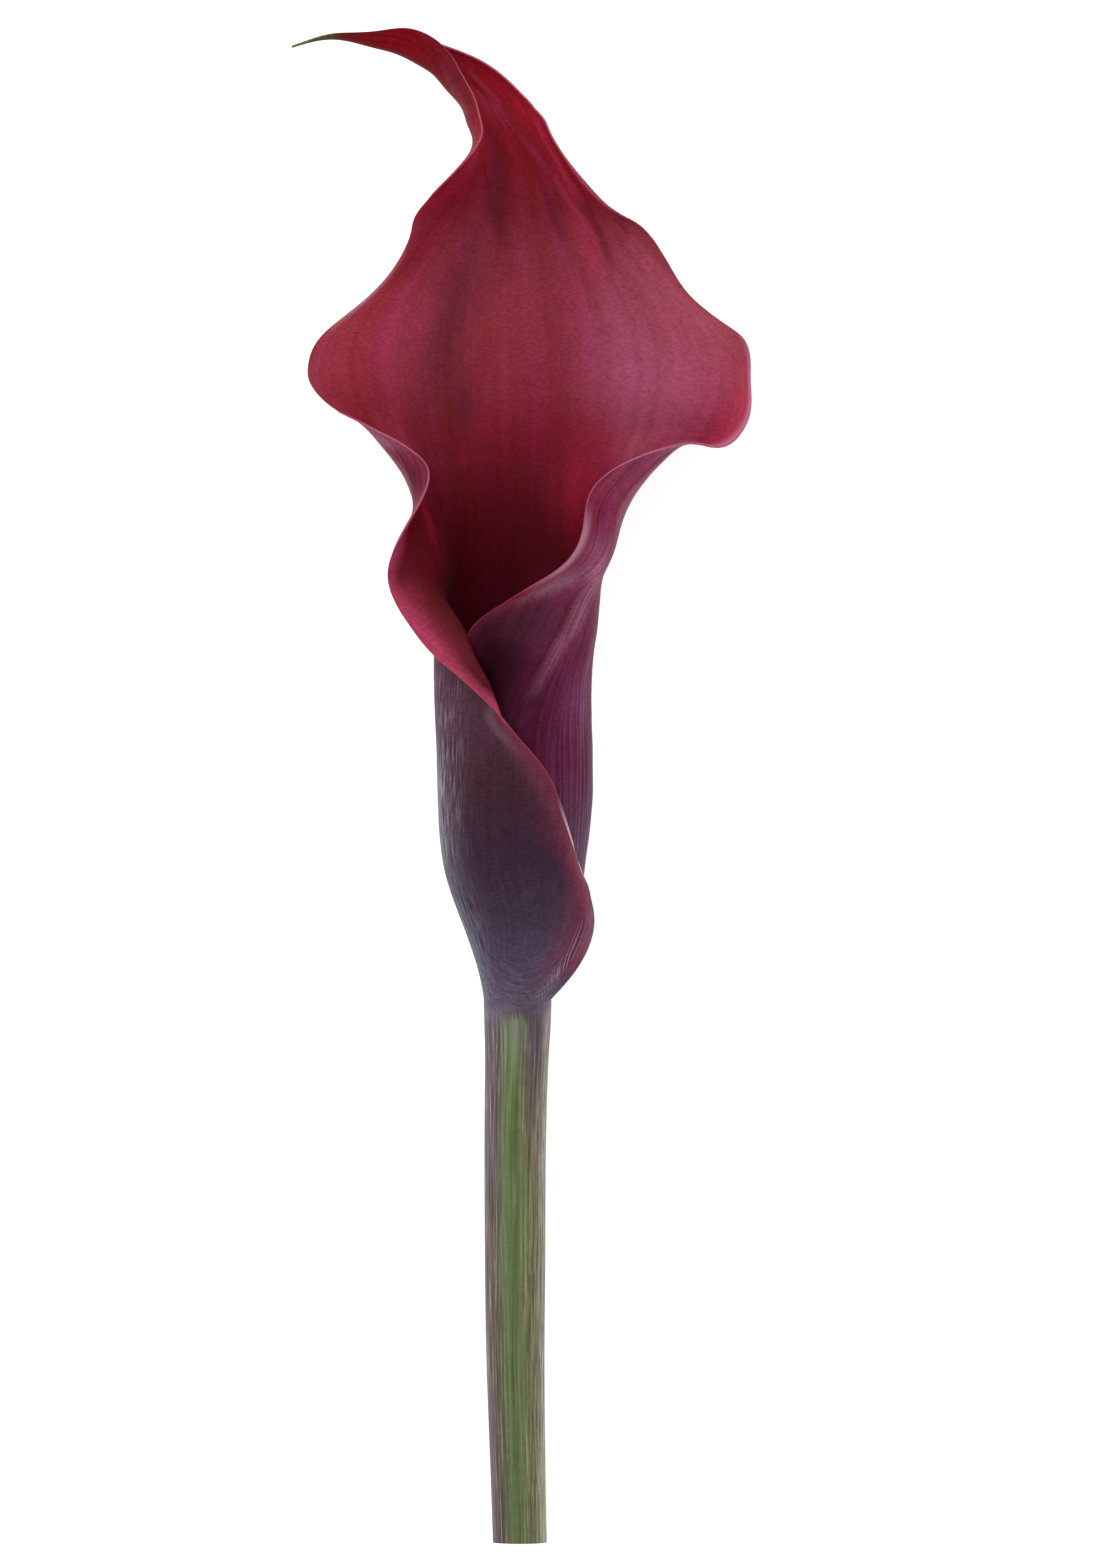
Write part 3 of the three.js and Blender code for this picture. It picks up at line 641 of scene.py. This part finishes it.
def outer_margins(f, across, along, margin, left_side):
    """Crimson beside the throat, a painted pink highlight where it turns out, a painted grey highlight
    beside the lip down the tube, white over the bulge
    """
    flanks = f.span(along, 18, 26, 126, 134)
    f.wash(f.times(f.rise(margin, 3, 0), flanks), 0.2, "78203a")
    right_side = f.rise(across, 0.5, 0.7)
    crimson = f.times(f.rise(margin, 1.9, 0.5), right_side, f.span(along, 51, 54.5, 54.5, 57.5))
    f.wash(crimson, 0.8, "70142c")
    # a painted pink highlight where the right flap's margin turns out
    pink_highlight = f.times(f.rise(margin, 1.5, 0.2), right_side, f.span(along, 54.5, 59, 62.5, 67.5))
    f.wash(pink_highlight, 0.6, "b8889a")
    # a painted grey highlight beside the rolled lip down the tube
    grey_highlight = f.times(f.ridge(margin, 2, 1.5), left_side, f.span(along, 32, 36, 38.5, 42))
    f.wash(grey_highlight, 0.25, "8a6672")
    red = f.times(f.rise(margin, 1, 0.4), left_side, f.span(along, 24, 36, 41, 46))
    f.wash(red, 0.55, "802a3c")
    f.wash(f.times(f.rise(margin, 0.2, 0), flanks), 0.5, "a0506c")
    white = f.times(f.rise(margin, 0.65, 0.35), left_side, f.span(along, 15.5, 18, 21, 28))
    f.wash(white, 0.9, "ccaab4")


def outer_skin():
    f = Finish("spathe_outer_skin", 0.45, Specular_IOR_Level=0.03, Sheen_Weight=0.02,
               Sheen_Roughness=0.25, Sheen_Tint=tint("d8dce4"))
    across, along, place = sheet_place(f)
    vein = f.attribute("vein")
    margin = f.attribute("margin")
    left_side = f.rise(across, -0.1, -0.3)
    outer_ground(f, across, along, place, margin)
    fine, hair = outer_lines(f, across, along, vein)
    tube_wax_and_sheen(f, along, vein, left_side)
    # light and dark arcs on the bulge where it starts from the stem
    arcs = f.stroke(across, along, ARC_POINTS)
    f.wash(f.times(arcs, f.rise(hair, 0.5, 0.6)), 0.4, "b8acb8")
    f.wash(f.times(arcs, f.rise(hair, 0.5, 0.42)), 0.5, "2a1c2a")
    foot_ripples(f, f.rise(along, 12, 3))
    grain = f.mottle(0.3, 0.42)
    outer_margins(f, across, along, margin, left_side)
    normal = f.bump(hair, 0.00005, 0.8, f.bump(fine, 0.00006, 0.8, f.bump(grain, 0.00002, 0.6)))
    return f.finish(normal)


def margin_rim():
    f = Finish("spathe_margin", 0.45, Specular_IOR_Level=0.08)
    across, along, _ = sheet_place(f)
    f.colour = by_station(
        f, along, (8, "584a5c"), (13, "7c3048"), (17, "c8a8b0"), (23, "d0b8c0"), (28, "a04858"),
        (40, "8a2c42"), (60, "96405c"), (72, "a85a76"), (78, "a04c66"), (90, "8c2c4c"),
        (108, "7c1c38"), (116, "b04a5c"), (128, "a8404c"), (137, "883038"), (143, "5c5430"),
        (148, "6c7048"))
    # painted shade on the right flap's rim where it dives under the left flap
    dive_shade = f.times(f.rise(across, 0, 0.5), f.span(along, 40, 46, 50, 56))
    f.wash(dive_shade, 0.85, "3c0814")
    grain = f.noise(f.own_place(), 2500)
    f.wash(f.rise(grain, 0.4, 0.7), 0.2, "c08098")
    return f.finish()


def stem_stripes(f, turn, height, rows):
    """Washes stripes over the stem one by one: middle and reach of each in turn, the heights at
    which it starts and is full, its strength and its colour"""
    for middle, reach, start, full, strength, code in rows:
        stripe = f.times(f.ridge(turn, middle, reach), f.rise(height, start, full))
        f.wash(stripe, strength, code)


def joint_purple(f, turn, height, lines):
    """The spathe's purple, which comes down over the joint in a ragged edge"""
    below = f.colour
    f.colour = f.ramp(turn, (
        (0, "544656"), (0.24, "5c4e5e"), (0.31, "7a6c7a"), (0.36, "5f4e60"), (0.42, "4e404c"),
        (0.5, "4a3e4a"), (0.55, "5e525c"), (0.6, "6c606e"), (0.7, "6c5e6c"), (0.8, "564858"),
        (1, "544656")))
    f.wash(f.rise(height, -2.4, -0.2), 0.9, "504356")
    ragged = f.plus(height, f.times(f.math("SUBTRACT", lines, 0.5), 7))
    f.colour = f.blend(f.times(f.rise(ragged, -3.4, -1.4), 0.96), below, f.colour)


def stem_skin():
    f = Finish("stem_skin", 0.4, Specular_IOR_Level=0.18, Sheen_Weight=0.08,
               Sheen_Roughness=0.25, Sheen_Tint=tint("e4e4e0"))
    # u and turn run once round: underneath 0, right 0.25, top 0.5, left 0.75; height is from the joint
    u, v, _ = f.own_uv()
    height = f.plus(f.times(v, STEM_LENGTH + NECK_TOP), -STEM_LENGTH)
    wander = f.streaks(u, height, 14, 40)
    turn = f.plus(u, f.times(f.math("SUBTRACT", wander, 0.5), 0.05))
    f.colour = f.ramp(turn, (
        (0, "5e5446"), (0.2, "66604c"), (0.33, "74725a"), (0.4, "6a6a49"), (0.44, "6a6e46"),
        (0.475, "66704a"), (0.505, "4f5e36"), (0.53, "5f7042"), (0.565, "626e4c"), (0.6, "5e5e46"),
        (0.66, "5f5048"), (0.76, "64545a"), (0.9, "62564e"), (1, "5e5446")))
    f.wash(f.ridge(turn, 0.71, 0.12), 0.85, "63505c")
    upper = f.rise(height, -42, -4)
    f.wash(f.times(f.rise(turn, 0.56, 0.62), upper), 0.7, "5f4e60")
    stem_stripes(f, turn, height, (
        (0.4, 0.1, -28, -4, 1, "54424e"),
        (0.34, 0.07, -8, -3, 0.5, "786476"),
        (0.51, 0.1, -10, -2, 0.7, "6e7268"),
        (0.415, 0.05, -14, -5, 0.85, "48404a"),
        (0.512, 0.025, -14, -5, 0.7, "8a9078"),
        (0.61, 0.075, -30, -52, 0.7, "4c4036"),
    ))
    # a painted grey sheen along the stem's right side
    f.wash(f.ridge(turn, 0.31, 0.06), 0.45, "94928c")
    stem_stripes(f, turn, height, (
        (0.3, 0.1, -54, -68, 0.5, "b4b084"),
        (0.56, 0.05, -54, -68, 0.5, "4c4630"),
    ))
    # broken dark lines, thickest at both sides, with pale ones between
    lines = f.streaks(u, height, 95, 11)
    off_middle = f.math("ABSOLUTE", f.math("SUBTRACT", turn, 0.51))
    sides = f.plus(0.3, f.times(f.rise(off_middle, 0.03, 0.1), 0.7))
    f.wash(f.times(f.rise(lines, 0.54, 0.68), sides), 0.4, "96907c")
    hair = f.streaks(u, height, 210, 20, 2)
    f.vary(f.plus(1, f.times(sides, f.swing(lines, 1.3)), f.swing(hair, 0.8)))
    broken = f.rise(f.streaks(u, height, 80, 6, 2), 0.5, 0.57)
    f.wash(f.times(broken, sides), 0.6, "443e34")
    blush = f.rise(f.streaks(u, height, 130, 9, 2), 0.54, 0.62)
    f.wash(f.times(blush, f.ridge(turn, 0.36, 0.1), upper), 0.5, "9a6070")
    joint_purple(f, turn, height, lines)
    foot_ripples(f, f.rise(height, -2.6, -0.4))
    f.mottle(0.2, 0.15)
    normal = f.bump(lines, 0.00008, 0.6, f.bump(hair, 0.00004, 0.6))
    return f.finish(normal)


def stem_cut_ring():
    f = Finish("stem_cut_ring", 0.4, Specular_IOR_Level=0.5)
    cells = f.noise(f.own_place(), 3000)
    f.colour = f.blend(f.rise(cells, 0.35, 0.65), tint("6f8a45"), tint("8fa45c"))
    return f.finish(f.bump(cells, 0.00004, 0.6))


def stem_pith():
    f = Finish("stem_cut_pith", 0.35, Specular_IOR_Level=0.5)
    place = f.own_place()
    cells = f.noise(place, 2500, 3)
    f.colour = f.blend(f.rise(cells, 0.35, 0.65), tint("b3bb80"), tint("d3d8a4"))
    scatter = f.add("TexVoronoi", {"Vector": place, "Scale": 1300}).outputs["Distance"]
    strands = f.rise(scatter, 0.24, 0.12)
    f.wash(strands, 0.8, "6d8040")
    return f.finish(f.bump(strands, 0.00006, 0.8, f.bump(cells, 0.00006, 0.7)))


def floret_pollen():
    f = Finish("spadix_florets", 0.65, Specular_IOR_Level=0.3)
    grain = f.noise(f.own_place(), 2600, 3)
    f.colour = f.blend(f.rise(grain, 0.35, 0.65), tint("c8871c"), tint("eec04a"))
    # the ovaries near the foot are greener, and the grooves browner
    _, v, _ = f.own_uv()
    f.wash(f.rise(v, 0.3, 0.2), 0.85, "c8c878")
    pointed = f.add("NewGeometry").outputs["Pointiness"]
    f.wash(f.rise(pointed, 0.5, 0.42), 0.7, "7a4a12")
    return f.finish(f.bump(grain, 0.00006, 0.7))


def floor_paper():
    f = Finish("floor_paper", 0.8, Specular_IOR_Level=0.1, Emission_Color=(1, 1, 1, 1),
               Emission_Strength=0.75)
    grain = f.noise(f.own_place(), 60)
    f.colour = f.blend(grain, tint("c4c4c4"), tint("bcbcbc"))
    return f.finish()


# Modelling helpers
def select_only(obj):
    for other in bpy.context.view_layer.objects:
        other.select_set(False)
    obj.select_set(True)
    bpy.context.view_layer.objects.active = obj


def new_piece(name):
    """Takes the primitive that was just added"""
    obj = bpy.context.object
    obj.name = obj.data.name = name
    bpy.ops.object.transform_apply(location=True, rotation=True, scale=True)
    return obj


def coat(obj, *skins):
    for skin in skins:
        obj.data.materials.append(skin)


def hand_over(obj, node):
    select_only(obj)
    bpy.ops.object.shade_smooth()
    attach(obj, "root")
    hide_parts(node)


# The spathe
SHEET_COLUMNS = 144
SHEET_ROWS = 240
BODY_THICKNESS = 0.8
MARGIN_THICKNESS = 0.26
FOOT_THICKNESS = 0.14
MARGIN_THINS = (0.5, 1)       # between these places across, on both sides
TAIL_THINS = (112, 134)       # between these stations
FOOT_THICKENS = (-2, 9)
RIM_BEVEL = 0.08

# The width that the veins spread over, by station: they run up the tube side by side, open into
# the blade and close again towards the tip
VEIN_SPREAD = (
    (0, 5, 10, 17, 27, 50, 60, 72, 85, 92, 100, 108, 115, 124, 134, 141, TIP_STATION),
    (4.6, 5.4, 7, 8.8, 10, 10.3, 10.6, 11.5, 13.5, 12.6, 9.6, 6.2, 4.6, 2.9, 2.1, 0.8, 0.2),
)

# Soft lengthwise folds: how far each rises to the inner side, how wide it is as a share of half
# the sheet, and its path as station, place across and strength
FOLDS = (
    (-0.5, 0.085, ((70, -0.26, 0), (80, -0.26, 1), (96, -0.24, 1), (104, -0.26, 0.5), (110, -0.27, 0))),
    (-0.28, 0.06, ((97, 0, 0), (102, -0.05, 1), (106, -0.1, 1), (111, -0.26, 1), (115, -0.5, 0.2))),
    (-0.35, 0.06, ((95, 0.46, 0), (102, 0.38, 1), (107, 0.32, 1), (114, 0.32, 0))),
    (-0.25, 0.06, ((100, 0.92, 0), (102.6, 0.84, 1), (104.6, 0.76, 1), (108, 0.62, 0.8), (111, 0.58, 0))),
    (0.35, 0.07, ((106, 0.4, 0), (109, 0.45, 1), (112, 0.6, 1), (115.5, 0.76, 1), (121, 0.9, 0))),
    (0.3, 0.06, ((112, 0.08, 0), (116, 0.08, 1), (119, 0.15, 1), (123, 0.4, 1), (127, 0.7, 0))),
    (0.25, 0.1, ((72, 0.12, 0), (84, 0.12, 1), (100, 0.1, 1), (110, 0.1, 0))),
    (-0.45, 0.05, ((57, 0.69, 0), (52, 0.66, 1), (48.6, 0.66, 1), (43, 0.74, 1), (38, 0.77, 0))),
    (-0.3, 0.035, ((52, 0.53, 0), (46, 0.54, 1), (37, 0.55, 1), (28, 0.6, 0))),
)
UNDULATION = ((0.14, 0.11), (0.05, 0.33))     # how high and how many to a millimetre
UNDULATION_STARTS = (8, 30)
UNDULATION_ENDS = (116, 136)

# Where a margin wanders outwards: which one, at what station, over what reach and how far
MARGIN_WANDER = (
    (1, 122.5, 3.5, 1.05), (1, 116.2, 1.2, 0.7), (1, 118.6, 0.8, 0.2), (1, 109.4, 0.9, -0.25),
    (1, 55.5, 2.5, 0.45), (-1, 111, 1.6, 0.45), (-1, 80.5, 2, 0.45), (-1, 12.5, 4.5, 0.4),
    (-1, 15.5, 1.3, 0.5), (-1, 35, 3, -0.6), (-1, 43, 3, -0.5),
)
WANDER_COLUMNS = 9            # a margin moves away from the column so far inside it
WANDER_FROM = 0.6             # and the sheet goes with it from this place across


def sheet_surface():
    """The middle of the sheet in millimetres, row by row from the foot to the tip"""
    across = np.linspace(-1, 1, SHEET_COLUMNS + 1)
    along = np.linspace(0, TIP_STATION, SHEET_ROWS + 1)
    lengthwise = spline([s for s, _ in SECTIONS], [row for _, row in SECTIONS], along)
    points = np.stack([spline(GUIDES, row, across) for row in lengthwise])
    for side, station, reach, distance in MARGIN_WANDER:
        edge, inner = (0, WANDER_COLUMNS) if side < 0 else (-1, -1 - WANDER_COLUMNS)
        outward = points[:, edge] - points[:, inner]
        outward /= np.linalg.norm(outward, axis=1, keepdims=True)
        nearness = np.exp(-((along - station) / reach) ** 2)
        share = nearness[:, None] * smooth(side * across, WANDER_FROM, 1)[None, :]
        points += distance * share[..., None] * outward[:, None, :]
    points[..., 2] += LIFT
    return across, along, points


def relief(across, along, points):
    """How far each point of the sheet stands to the inner side for its folds and undulations"""
    rise = np.zeros(points.shape[:2])
    for depth, reach, path in FOLDS:
        stations, places, strengths = zip(*sorted(path))
        middle = np.interp(along, stations, places)[:, None]
        strength = smooth(np.interp(along, stations, strengths), 0, 1)[:, None]
        rise += depth * strength * np.exp(-((across[None, :] - middle) / reach) ** 2)
    free = smooth(along, *UNDULATION_STARTS) * (1 - smooth(along, *UNDULATION_ENDS))
    for height, density in UNDULATION:
        waves = [noise.noise(Vector(point) * density) for point in points.reshape(-1, 3)]
        rise += height * np.reshape(waves, rise.shape) * free[:, None]
    return rise


def name_places(mesh, points, along):
    """Keeps each point's place among the veins and its distance from the nearest margin"""
    steps = np.linalg.norm(np.diff(points, axis=1), axis=2)
    arc = np.concatenate([np.zeros((len(along), 1)), np.cumsum(steps, axis=1)], axis=1)
    midrib = SHEET_COLUMNS // 2
    vein = (arc - arc[:, midrib:midrib + 1]) / spline(*VEIN_SPREAD, along)[:, None]
    margin = np.minimum(arc, arc[:, -1:] - arc)
    for name, values in (("vein", vein), ("margin", margin)):
        layer = mesh.attributes.new(name, "FLOAT", "POINT")
        layer.data.foreach_set("value", values.ravel().astype(np.float32))


def select_where(obj, kind, test):
    """Selects the faces or edges of a mesh that pass a test, and nothing else"""
    mesh = obj.data
    for part in (mesh.vertices, mesh.edges, mesh.polygons):
        part.foreach_set("select", [False] * len(part))
    for item in getattr(mesh, kind):
        item.select = test(item)
    select_only(obj)
    bpy.ops.object.mode_set(mode="EDIT")
    bpy.ops.mesh.select_mode(type="FACE" if kind == "polygons" else "EDGE")


def leave_edit_mode():
    bpy.ops.object.mode_set(mode="OBJECT")


def make_spathe():
    across, along, points = sheet_surface()
    inward = np.cross(np.gradient(points, axis=1), np.gradient(points, axis=0))
    inward /= np.linalg.norm(inward, axis=2, keepdims=True)
    points = points + inward * relief(across, along, points)[..., None]

    bpy.ops.mesh.primitive_grid_add(x_subdivisions=SHEET_COLUMNS, y_subdivisions=SHEET_ROWS, size=2)
    spathe = new_piece("spathe_sheet")
    near_margin = smooth(np.abs(across), *MARGIN_THINS)[None, :]
    near_tip = smooth(along, *TAIL_THINS)[:, None]
    thick = BODY_THICKNESS - (BODY_THICKNESS - MARGIN_THICKNESS) * np.maximum(near_margin, near_tip)
    thick = FOOT_THICKNESS + (thick - FOOT_THICKNESS) * smooth(along, *FOOT_THICKENS)[:, None]
    thickness = spathe.vertex_groups.new(name="thickness")
    for vertex, point, size in zip(spathe.data.vertices, points.reshape(-1, 3), thick.ravel()):
        vertex.co = metres(point)
        thickness.add([vertex.index], size / BODY_THICKNESS, "REPLACE")
    name_places(spathe.data, points, along)
    coat(spathe, inner_velvet(), outer_skin(), margin_rim())
    shell = spathe.modifiers.new("shell", "SOLIDIFY")
    shell.thickness = BODY_THICKNESS / 1000
    shell.offset = 0
    shell.vertex_group = "thickness"
    shell.use_quality_normals = True
    shell.material_offset = 1
    shell.material_offset_rim = 2
    select_only(spathe)
    bpy.ops.object.modifier_apply(modifier="shell")
    # only the edges between two of its materials are bevelled
    kinds = {}
    for face in spathe.data.polygons:
        for key in face.edge_keys:
            kinds.setdefault(key, set()).add(face.material_index)
    select_where(spathe, "edges", lambda edge: len(kinds[edge.key]) == 2)
    bpy.ops.mesh.bevel(offset=RIM_BEVEL / 1000, segments=2, profile=0.5, clamp_overlap=True, material=2)
    leave_edit_mode()
    for vertex in spathe.data.vertices:
        vertex.co.z = max(vertex.co.z, 0)
    hand_over(spathe, "spathe")


SAME_PLACE = 1e-7             # corners nearer than this, in metres, become one


def make_tube(name, sides, rings, place):
    """A closed skin round an axis: place gives the point on each side of each ring"""
    bpy.ops.mesh.primitive_grid_add(x_subdivisions=sides, y_subdivisions=rings, size=2)
    tube = new_piece(name)
    for vertex in tube.data.vertices:
        side = round((vertex.co.x + 1) / 2 * sides)
        ring = round((vertex.co.y + 1) / 2 * rings)
        vertex.co = metres(place(side % sides, ring))
    select_where(tube, "polygons", lambda face: True)
    bpy.ops.mesh.remove_doubles(threshold=SAME_PLACE)
    bpy.ops.mesh.select_all(action="DESELECT")
    bpy.ops.mesh.select_mode(type="EDGE")
    bpy.ops.mesh.select_non_manifold()
    bpy.ops.mesh.edge_face_add()
    bpy.ops.mesh.select_all(action="SELECT")
    bpy.ops.mesh.normals_make_consistent(inside=False)
    leave_edit_mode()
    return tube


# The stem
STEM_SIDES = 144
STEM_RINGS = 110
STEM_RIBS = 36
RIB_DEPTH = 0.035
RIBS_FADE = (-6, 0)
CUT_RADIUS = 3.62
CUT_REACH = 0.4               # how far from the cut's plane its faces lie at the most
NECK_TOP = 5.2
# Rings of the cut from its rim inwards: share of its radius, step down and material
CUT_FACE = ((0.97, 0, 0), (0.9, 0.02, 1), (0.86, 0.1, 1), (0.45, 0.06, 2), (0, 0.02, 2))
# By station: its sway, its radius, and its lift, which is 0 where it lies down and 1 at the joint
STEM_FORM = (
    (-STEM_LENGTH, -62, -48, -36, -22, -12, -6, -2.5, -0.8, 0, 2.4, NECK_TOP),
    ((0.3, CUT_RADIUS, 0), (0, 3.72, 0.08), (-0.3, 3.92, 0.24), (-0.34, 4.05, 0.42),
     (-0.34, 4.12, 0.66), (-0.2, 4.2, 0.82), (-0.05, 4.34, 0.91), (0, 4.52, 0.965), (0, 4.57, 1),
     (0, 4.59, 1), (0, 4.3, 1), (0, 3.2, 1)),
)


def make_stem():
    along = np.linspace(-STEM_LENGTH, NECK_TOP, STEM_RINGS + 1)
    form = spline(*STEM_FORM, along)

    def place(side, ring):
        angle = 2 * math.pi * side / STEM_SIDES
        sway, radius, lift = form[ring]
        radius += RIB_DEPTH * math.cos(STEM_RIBS * angle) * (1 - smooth(along[ring], *RIBS_FADE))
        height = CUT_RADIUS + (JOINT_HEIGHT - CUT_RADIUS) * lift
        z = max(height - radius * math.cos(angle), 0)
        return sway + radius * math.sin(angle), along[ring], z

    stem = make_tube("stem_stalk", STEM_SIDES, STEM_RINGS, place)
    coat(stem, stem_skin(), stem_cut_ring(), stem_pith())
    # the one face that closes the cut is drawn in ring by ring
    select_where(stem, "polygons", lambda face: face.normal.y < -0.9 and len(face.vertices) > 4)
    centre = metres((STEM_FORM[1][0][0], -STEM_LENGTH, CUT_RADIUS))
    share = 1
    for inner_share, dip, _ in CUT_FACE:
        shrink = inner_share / share
        bpy.ops.mesh.extrude_region_move(TRANSFORM_OT_translate={"value": (0, dip / 1000, 0)})
        bpy.ops.transform.resize(value=(shrink, 1, shrink), center_override=centre)
        share = inner_share
    leave_edit_mode()
    for face in stem.data.polygons:
        off = face.center - centre
        if abs(off.y) < CUT_REACH / 1000 and abs(face.normal.y) > 0.5:
            reach = math.hypot(off.x, off.z) * 1000 / CUT_RADIUS
            face.material_index = next(slot for share, _, slot in CUT_FACE if reach > share)
    hand_over(stem, "stem")


# The spadix, hidden in the throat
SPADIX_FOOT = 5.7
SPADIX_LENGTH = 38.0
SPADIX_RADIUS = 2.95
SPADIX_TAPER = 0.22
SPADIX_TIP = 2.6              # length of its round tip
FOOT_START = 0.8              # how thick its foot is at the start, as a share,
FOOT_GROWTH = 0.5             # and how much of it comes back in each millimetre
SPADIX_SIDES = 150
SPADIX_RINGS = 270
# Its sway and its height, at these shares of its length
SPADIX_AXIS = ((0, 0.4, 1), ((0, 8.75), (-0.1, 10.4), (-0.2, 10.9)))
FEMALE_SHARE = 0.24           # the share of its length that bears ovaries
# Florets: how many to a row, how far apart the rows are and the size of each
OVARIES = (12, 1.24, 1.5)
STAMENS = (19, 0.82, 0.98)
FIRST_ROW = 0.7
LAST_ROW = SPADIX_LENGTH - 0.3
# Of a floret: half its width and half its height, as shares of its size, and how sharp its
# dimple is each way
FLORET_HALVES = (0.56, 0.5)
DIMPLE_SHARPNESS = (14, 3)
FLORET_DEPTH = 0.3
DIMPLE_DEPTH = 0.3            # as a share of the floret's
DICE_SEED = 11
SHIFT_ROUND = 0.1
SHIFT_ALONG = 0.08
GROWTH = (0.85, 1.1)


def floret_rows():
    """Rows of florets up the spadix: their height on it, their number and their size"""
    at = FIRST_ROW
    row = 0
    while at < LAST_ROW:
        count, step, size = OVARIES if at < SPADIX_LENGTH * FEMALE_SHARE else STAMENS
        yield at, row, count, size
        at += step
        row += 1


def floret_relief(around, along):
    """From 0 in the grooves between florets to 1 on top of them"""
    dice = random.Random(DICE_SEED)
    height = np.zeros((len(along), len(around)))
    for at, row, count, size in floret_rows():
        for i in range(count):
            shift = dice.uniform(-SHIFT_ROUND, SHIFT_ROUND)
            angle = 2 * math.pi * (i + 0.5 * (row % 2) + shift) / count
            middle = at + dice.uniform(-SHIFT_ALONG, SHIFT_ALONG)
            grow = dice.uniform(*GROWTH)
            gap = (around - angle + math.pi) % (2 * math.pi) - math.pi
            x = gap[None, :] * SPADIX_RADIUS / (size * FLORET_HALVES[0])
            y = (along[:, None] - middle) / (size * FLORET_HALVES[1])
            dome = np.clip(1 - x ** 2 - y ** 2, 0, 1) ** 0.5 * grow
            dimple = DIMPLE_DEPTH * np.exp(-(x ** 2 * DIMPLE_SHARPNESS[0] + y ** 2 * DIMPLE_SHARPNESS[1]))
            height = np.maximum(height, dome - dimple)
    return height


def make_spadix():
    share = np.linspace(0, 1, SPADIX_RINGS + 1)
    around = np.linspace(0, 2 * math.pi, SPADIX_SIDES, endpoint=False)
    axis = spline(*SPADIX_AXIS, share)
    florets = floret_relief(around, share * SPADIX_LENGTH)

    def place(side, ring):
        body = SPADIX_RADIUS * (1 - SPADIX_TAPER * share[ring])
        tip = min(1, (1 - share[ring]) * SPADIX_LENGTH / SPADIX_TIP)
        foot = min(1, FOOT_START + share[ring] * SPADIX_LENGTH * FOOT_GROWTH)
        round_tip = math.sqrt(max(1 - (1 - tip) ** 2, 0))
        radius = (body - FLORET_DEPTH + FLORET_DEPTH * florets[ring, side]) * round_tip * foot
        sway, height = axis[ring]
        return (sway + radius * math.sin(around[side]), SPADIX_FOOT + share[ring] * SPADIX_LENGTH,
                height + LIFT - radius * math.cos(around[side]))

    spadix = make_tube("spadix_florets", SPADIX_SIDES, SPADIX_RINGS, place)
    coat(spadix, floret_pollen())
    hand_over(spadix, "spadix")


# Light, floor and camera. The floor's lengths are in metres.
FLOOR_RADIUS = 6
FLOOR_DROP = 0.0003
SUN_POWER = 0.6
SUN_WIDTH = 60                # in degrees, for a faint soft shadow
SUN_DIRECTION = (0.5, -0.35, -1)
DOME_SIDES = 1.7
DOME_TOP = 0.5


def make_dome():
    """A studio dome, dim overhead and bright all round the sides"""
    world = bpy.data.worlds.new("studio_dome")
    world.use_nodes = True
    nodes, links = world.node_tree.nodes, world.node_tree.links
    direction = nodes.new("ShaderNodeTexCoord").outputs["Generated"]
    parts = nodes.new("ShaderNodeSeparateXYZ")
    links.new(direction, parts.inputs[0])
    strength = nodes.new("ShaderNodeMapRange")
    links.new(parts.outputs["Z"], strength.inputs["Value"])
    strength.inputs["To Min"].default_value = DOME_SIDES
    strength.inputs["To Max"].default_value = DOME_TOP
    links.new(strength.outputs[0], nodes["Background"].inputs["Strength"])
    nodes["Background"].inputs["Color"].default_value = (1, 1, 1, 1)
    bpy.context.scene.world = world


def make_stage():
    bpy.ops.mesh.primitive_circle_add(vertices=96, radius=FLOOR_RADIUS, fill_type="NGON",
                                      location=(0, 0, -FLOOR_DROP))
    floor = new_piece("floor")
    coat(floor, floor_paper())
    bpy.context.scene.view_settings.view_transform = "Standard"
    make_dome()
    softbox = bpy.data.lights.new("softbox", "SUN")
    softbox.energy = SUN_POWER
    softbox.angle = math.radians(SUN_WIDTH)
    lamp = bpy.data.objects.new("softbox", softbox)
    bpy.context.scene.collection.objects.link(lamp)
    lamp.rotation_euler = Vector(SUN_DIRECTION).to_track_quat("-Z", "Y").to_euler()


def make_camera():
    lens = bpy.data.cameras.new("photo_view")
    lens.lens = 300
    lens.sensor_width = 36
    camera = bpy.data.objects.new("photo_view", lens)
    bpy.context.scene.collection.objects.link(camera)
    bpy.context.scene.camera = camera
    middle = ((IMAGE[0] / 2 - JOINT_PIXEL[0]) * PIXEL, (JOINT_PIXEL[1] - IMAGE[1] / 2) * PIXEL)
    distance = IMAGE[1] * PIXEL / 2 * lens.lens / (lens.sensor_width / 2)
    subject_height = 10
    camera.location = metres((*middle, distance + subject_height))
    lens.clip_end = 20


make_spathe()
make_stem()
make_spadix()
make_stage()
make_camera()
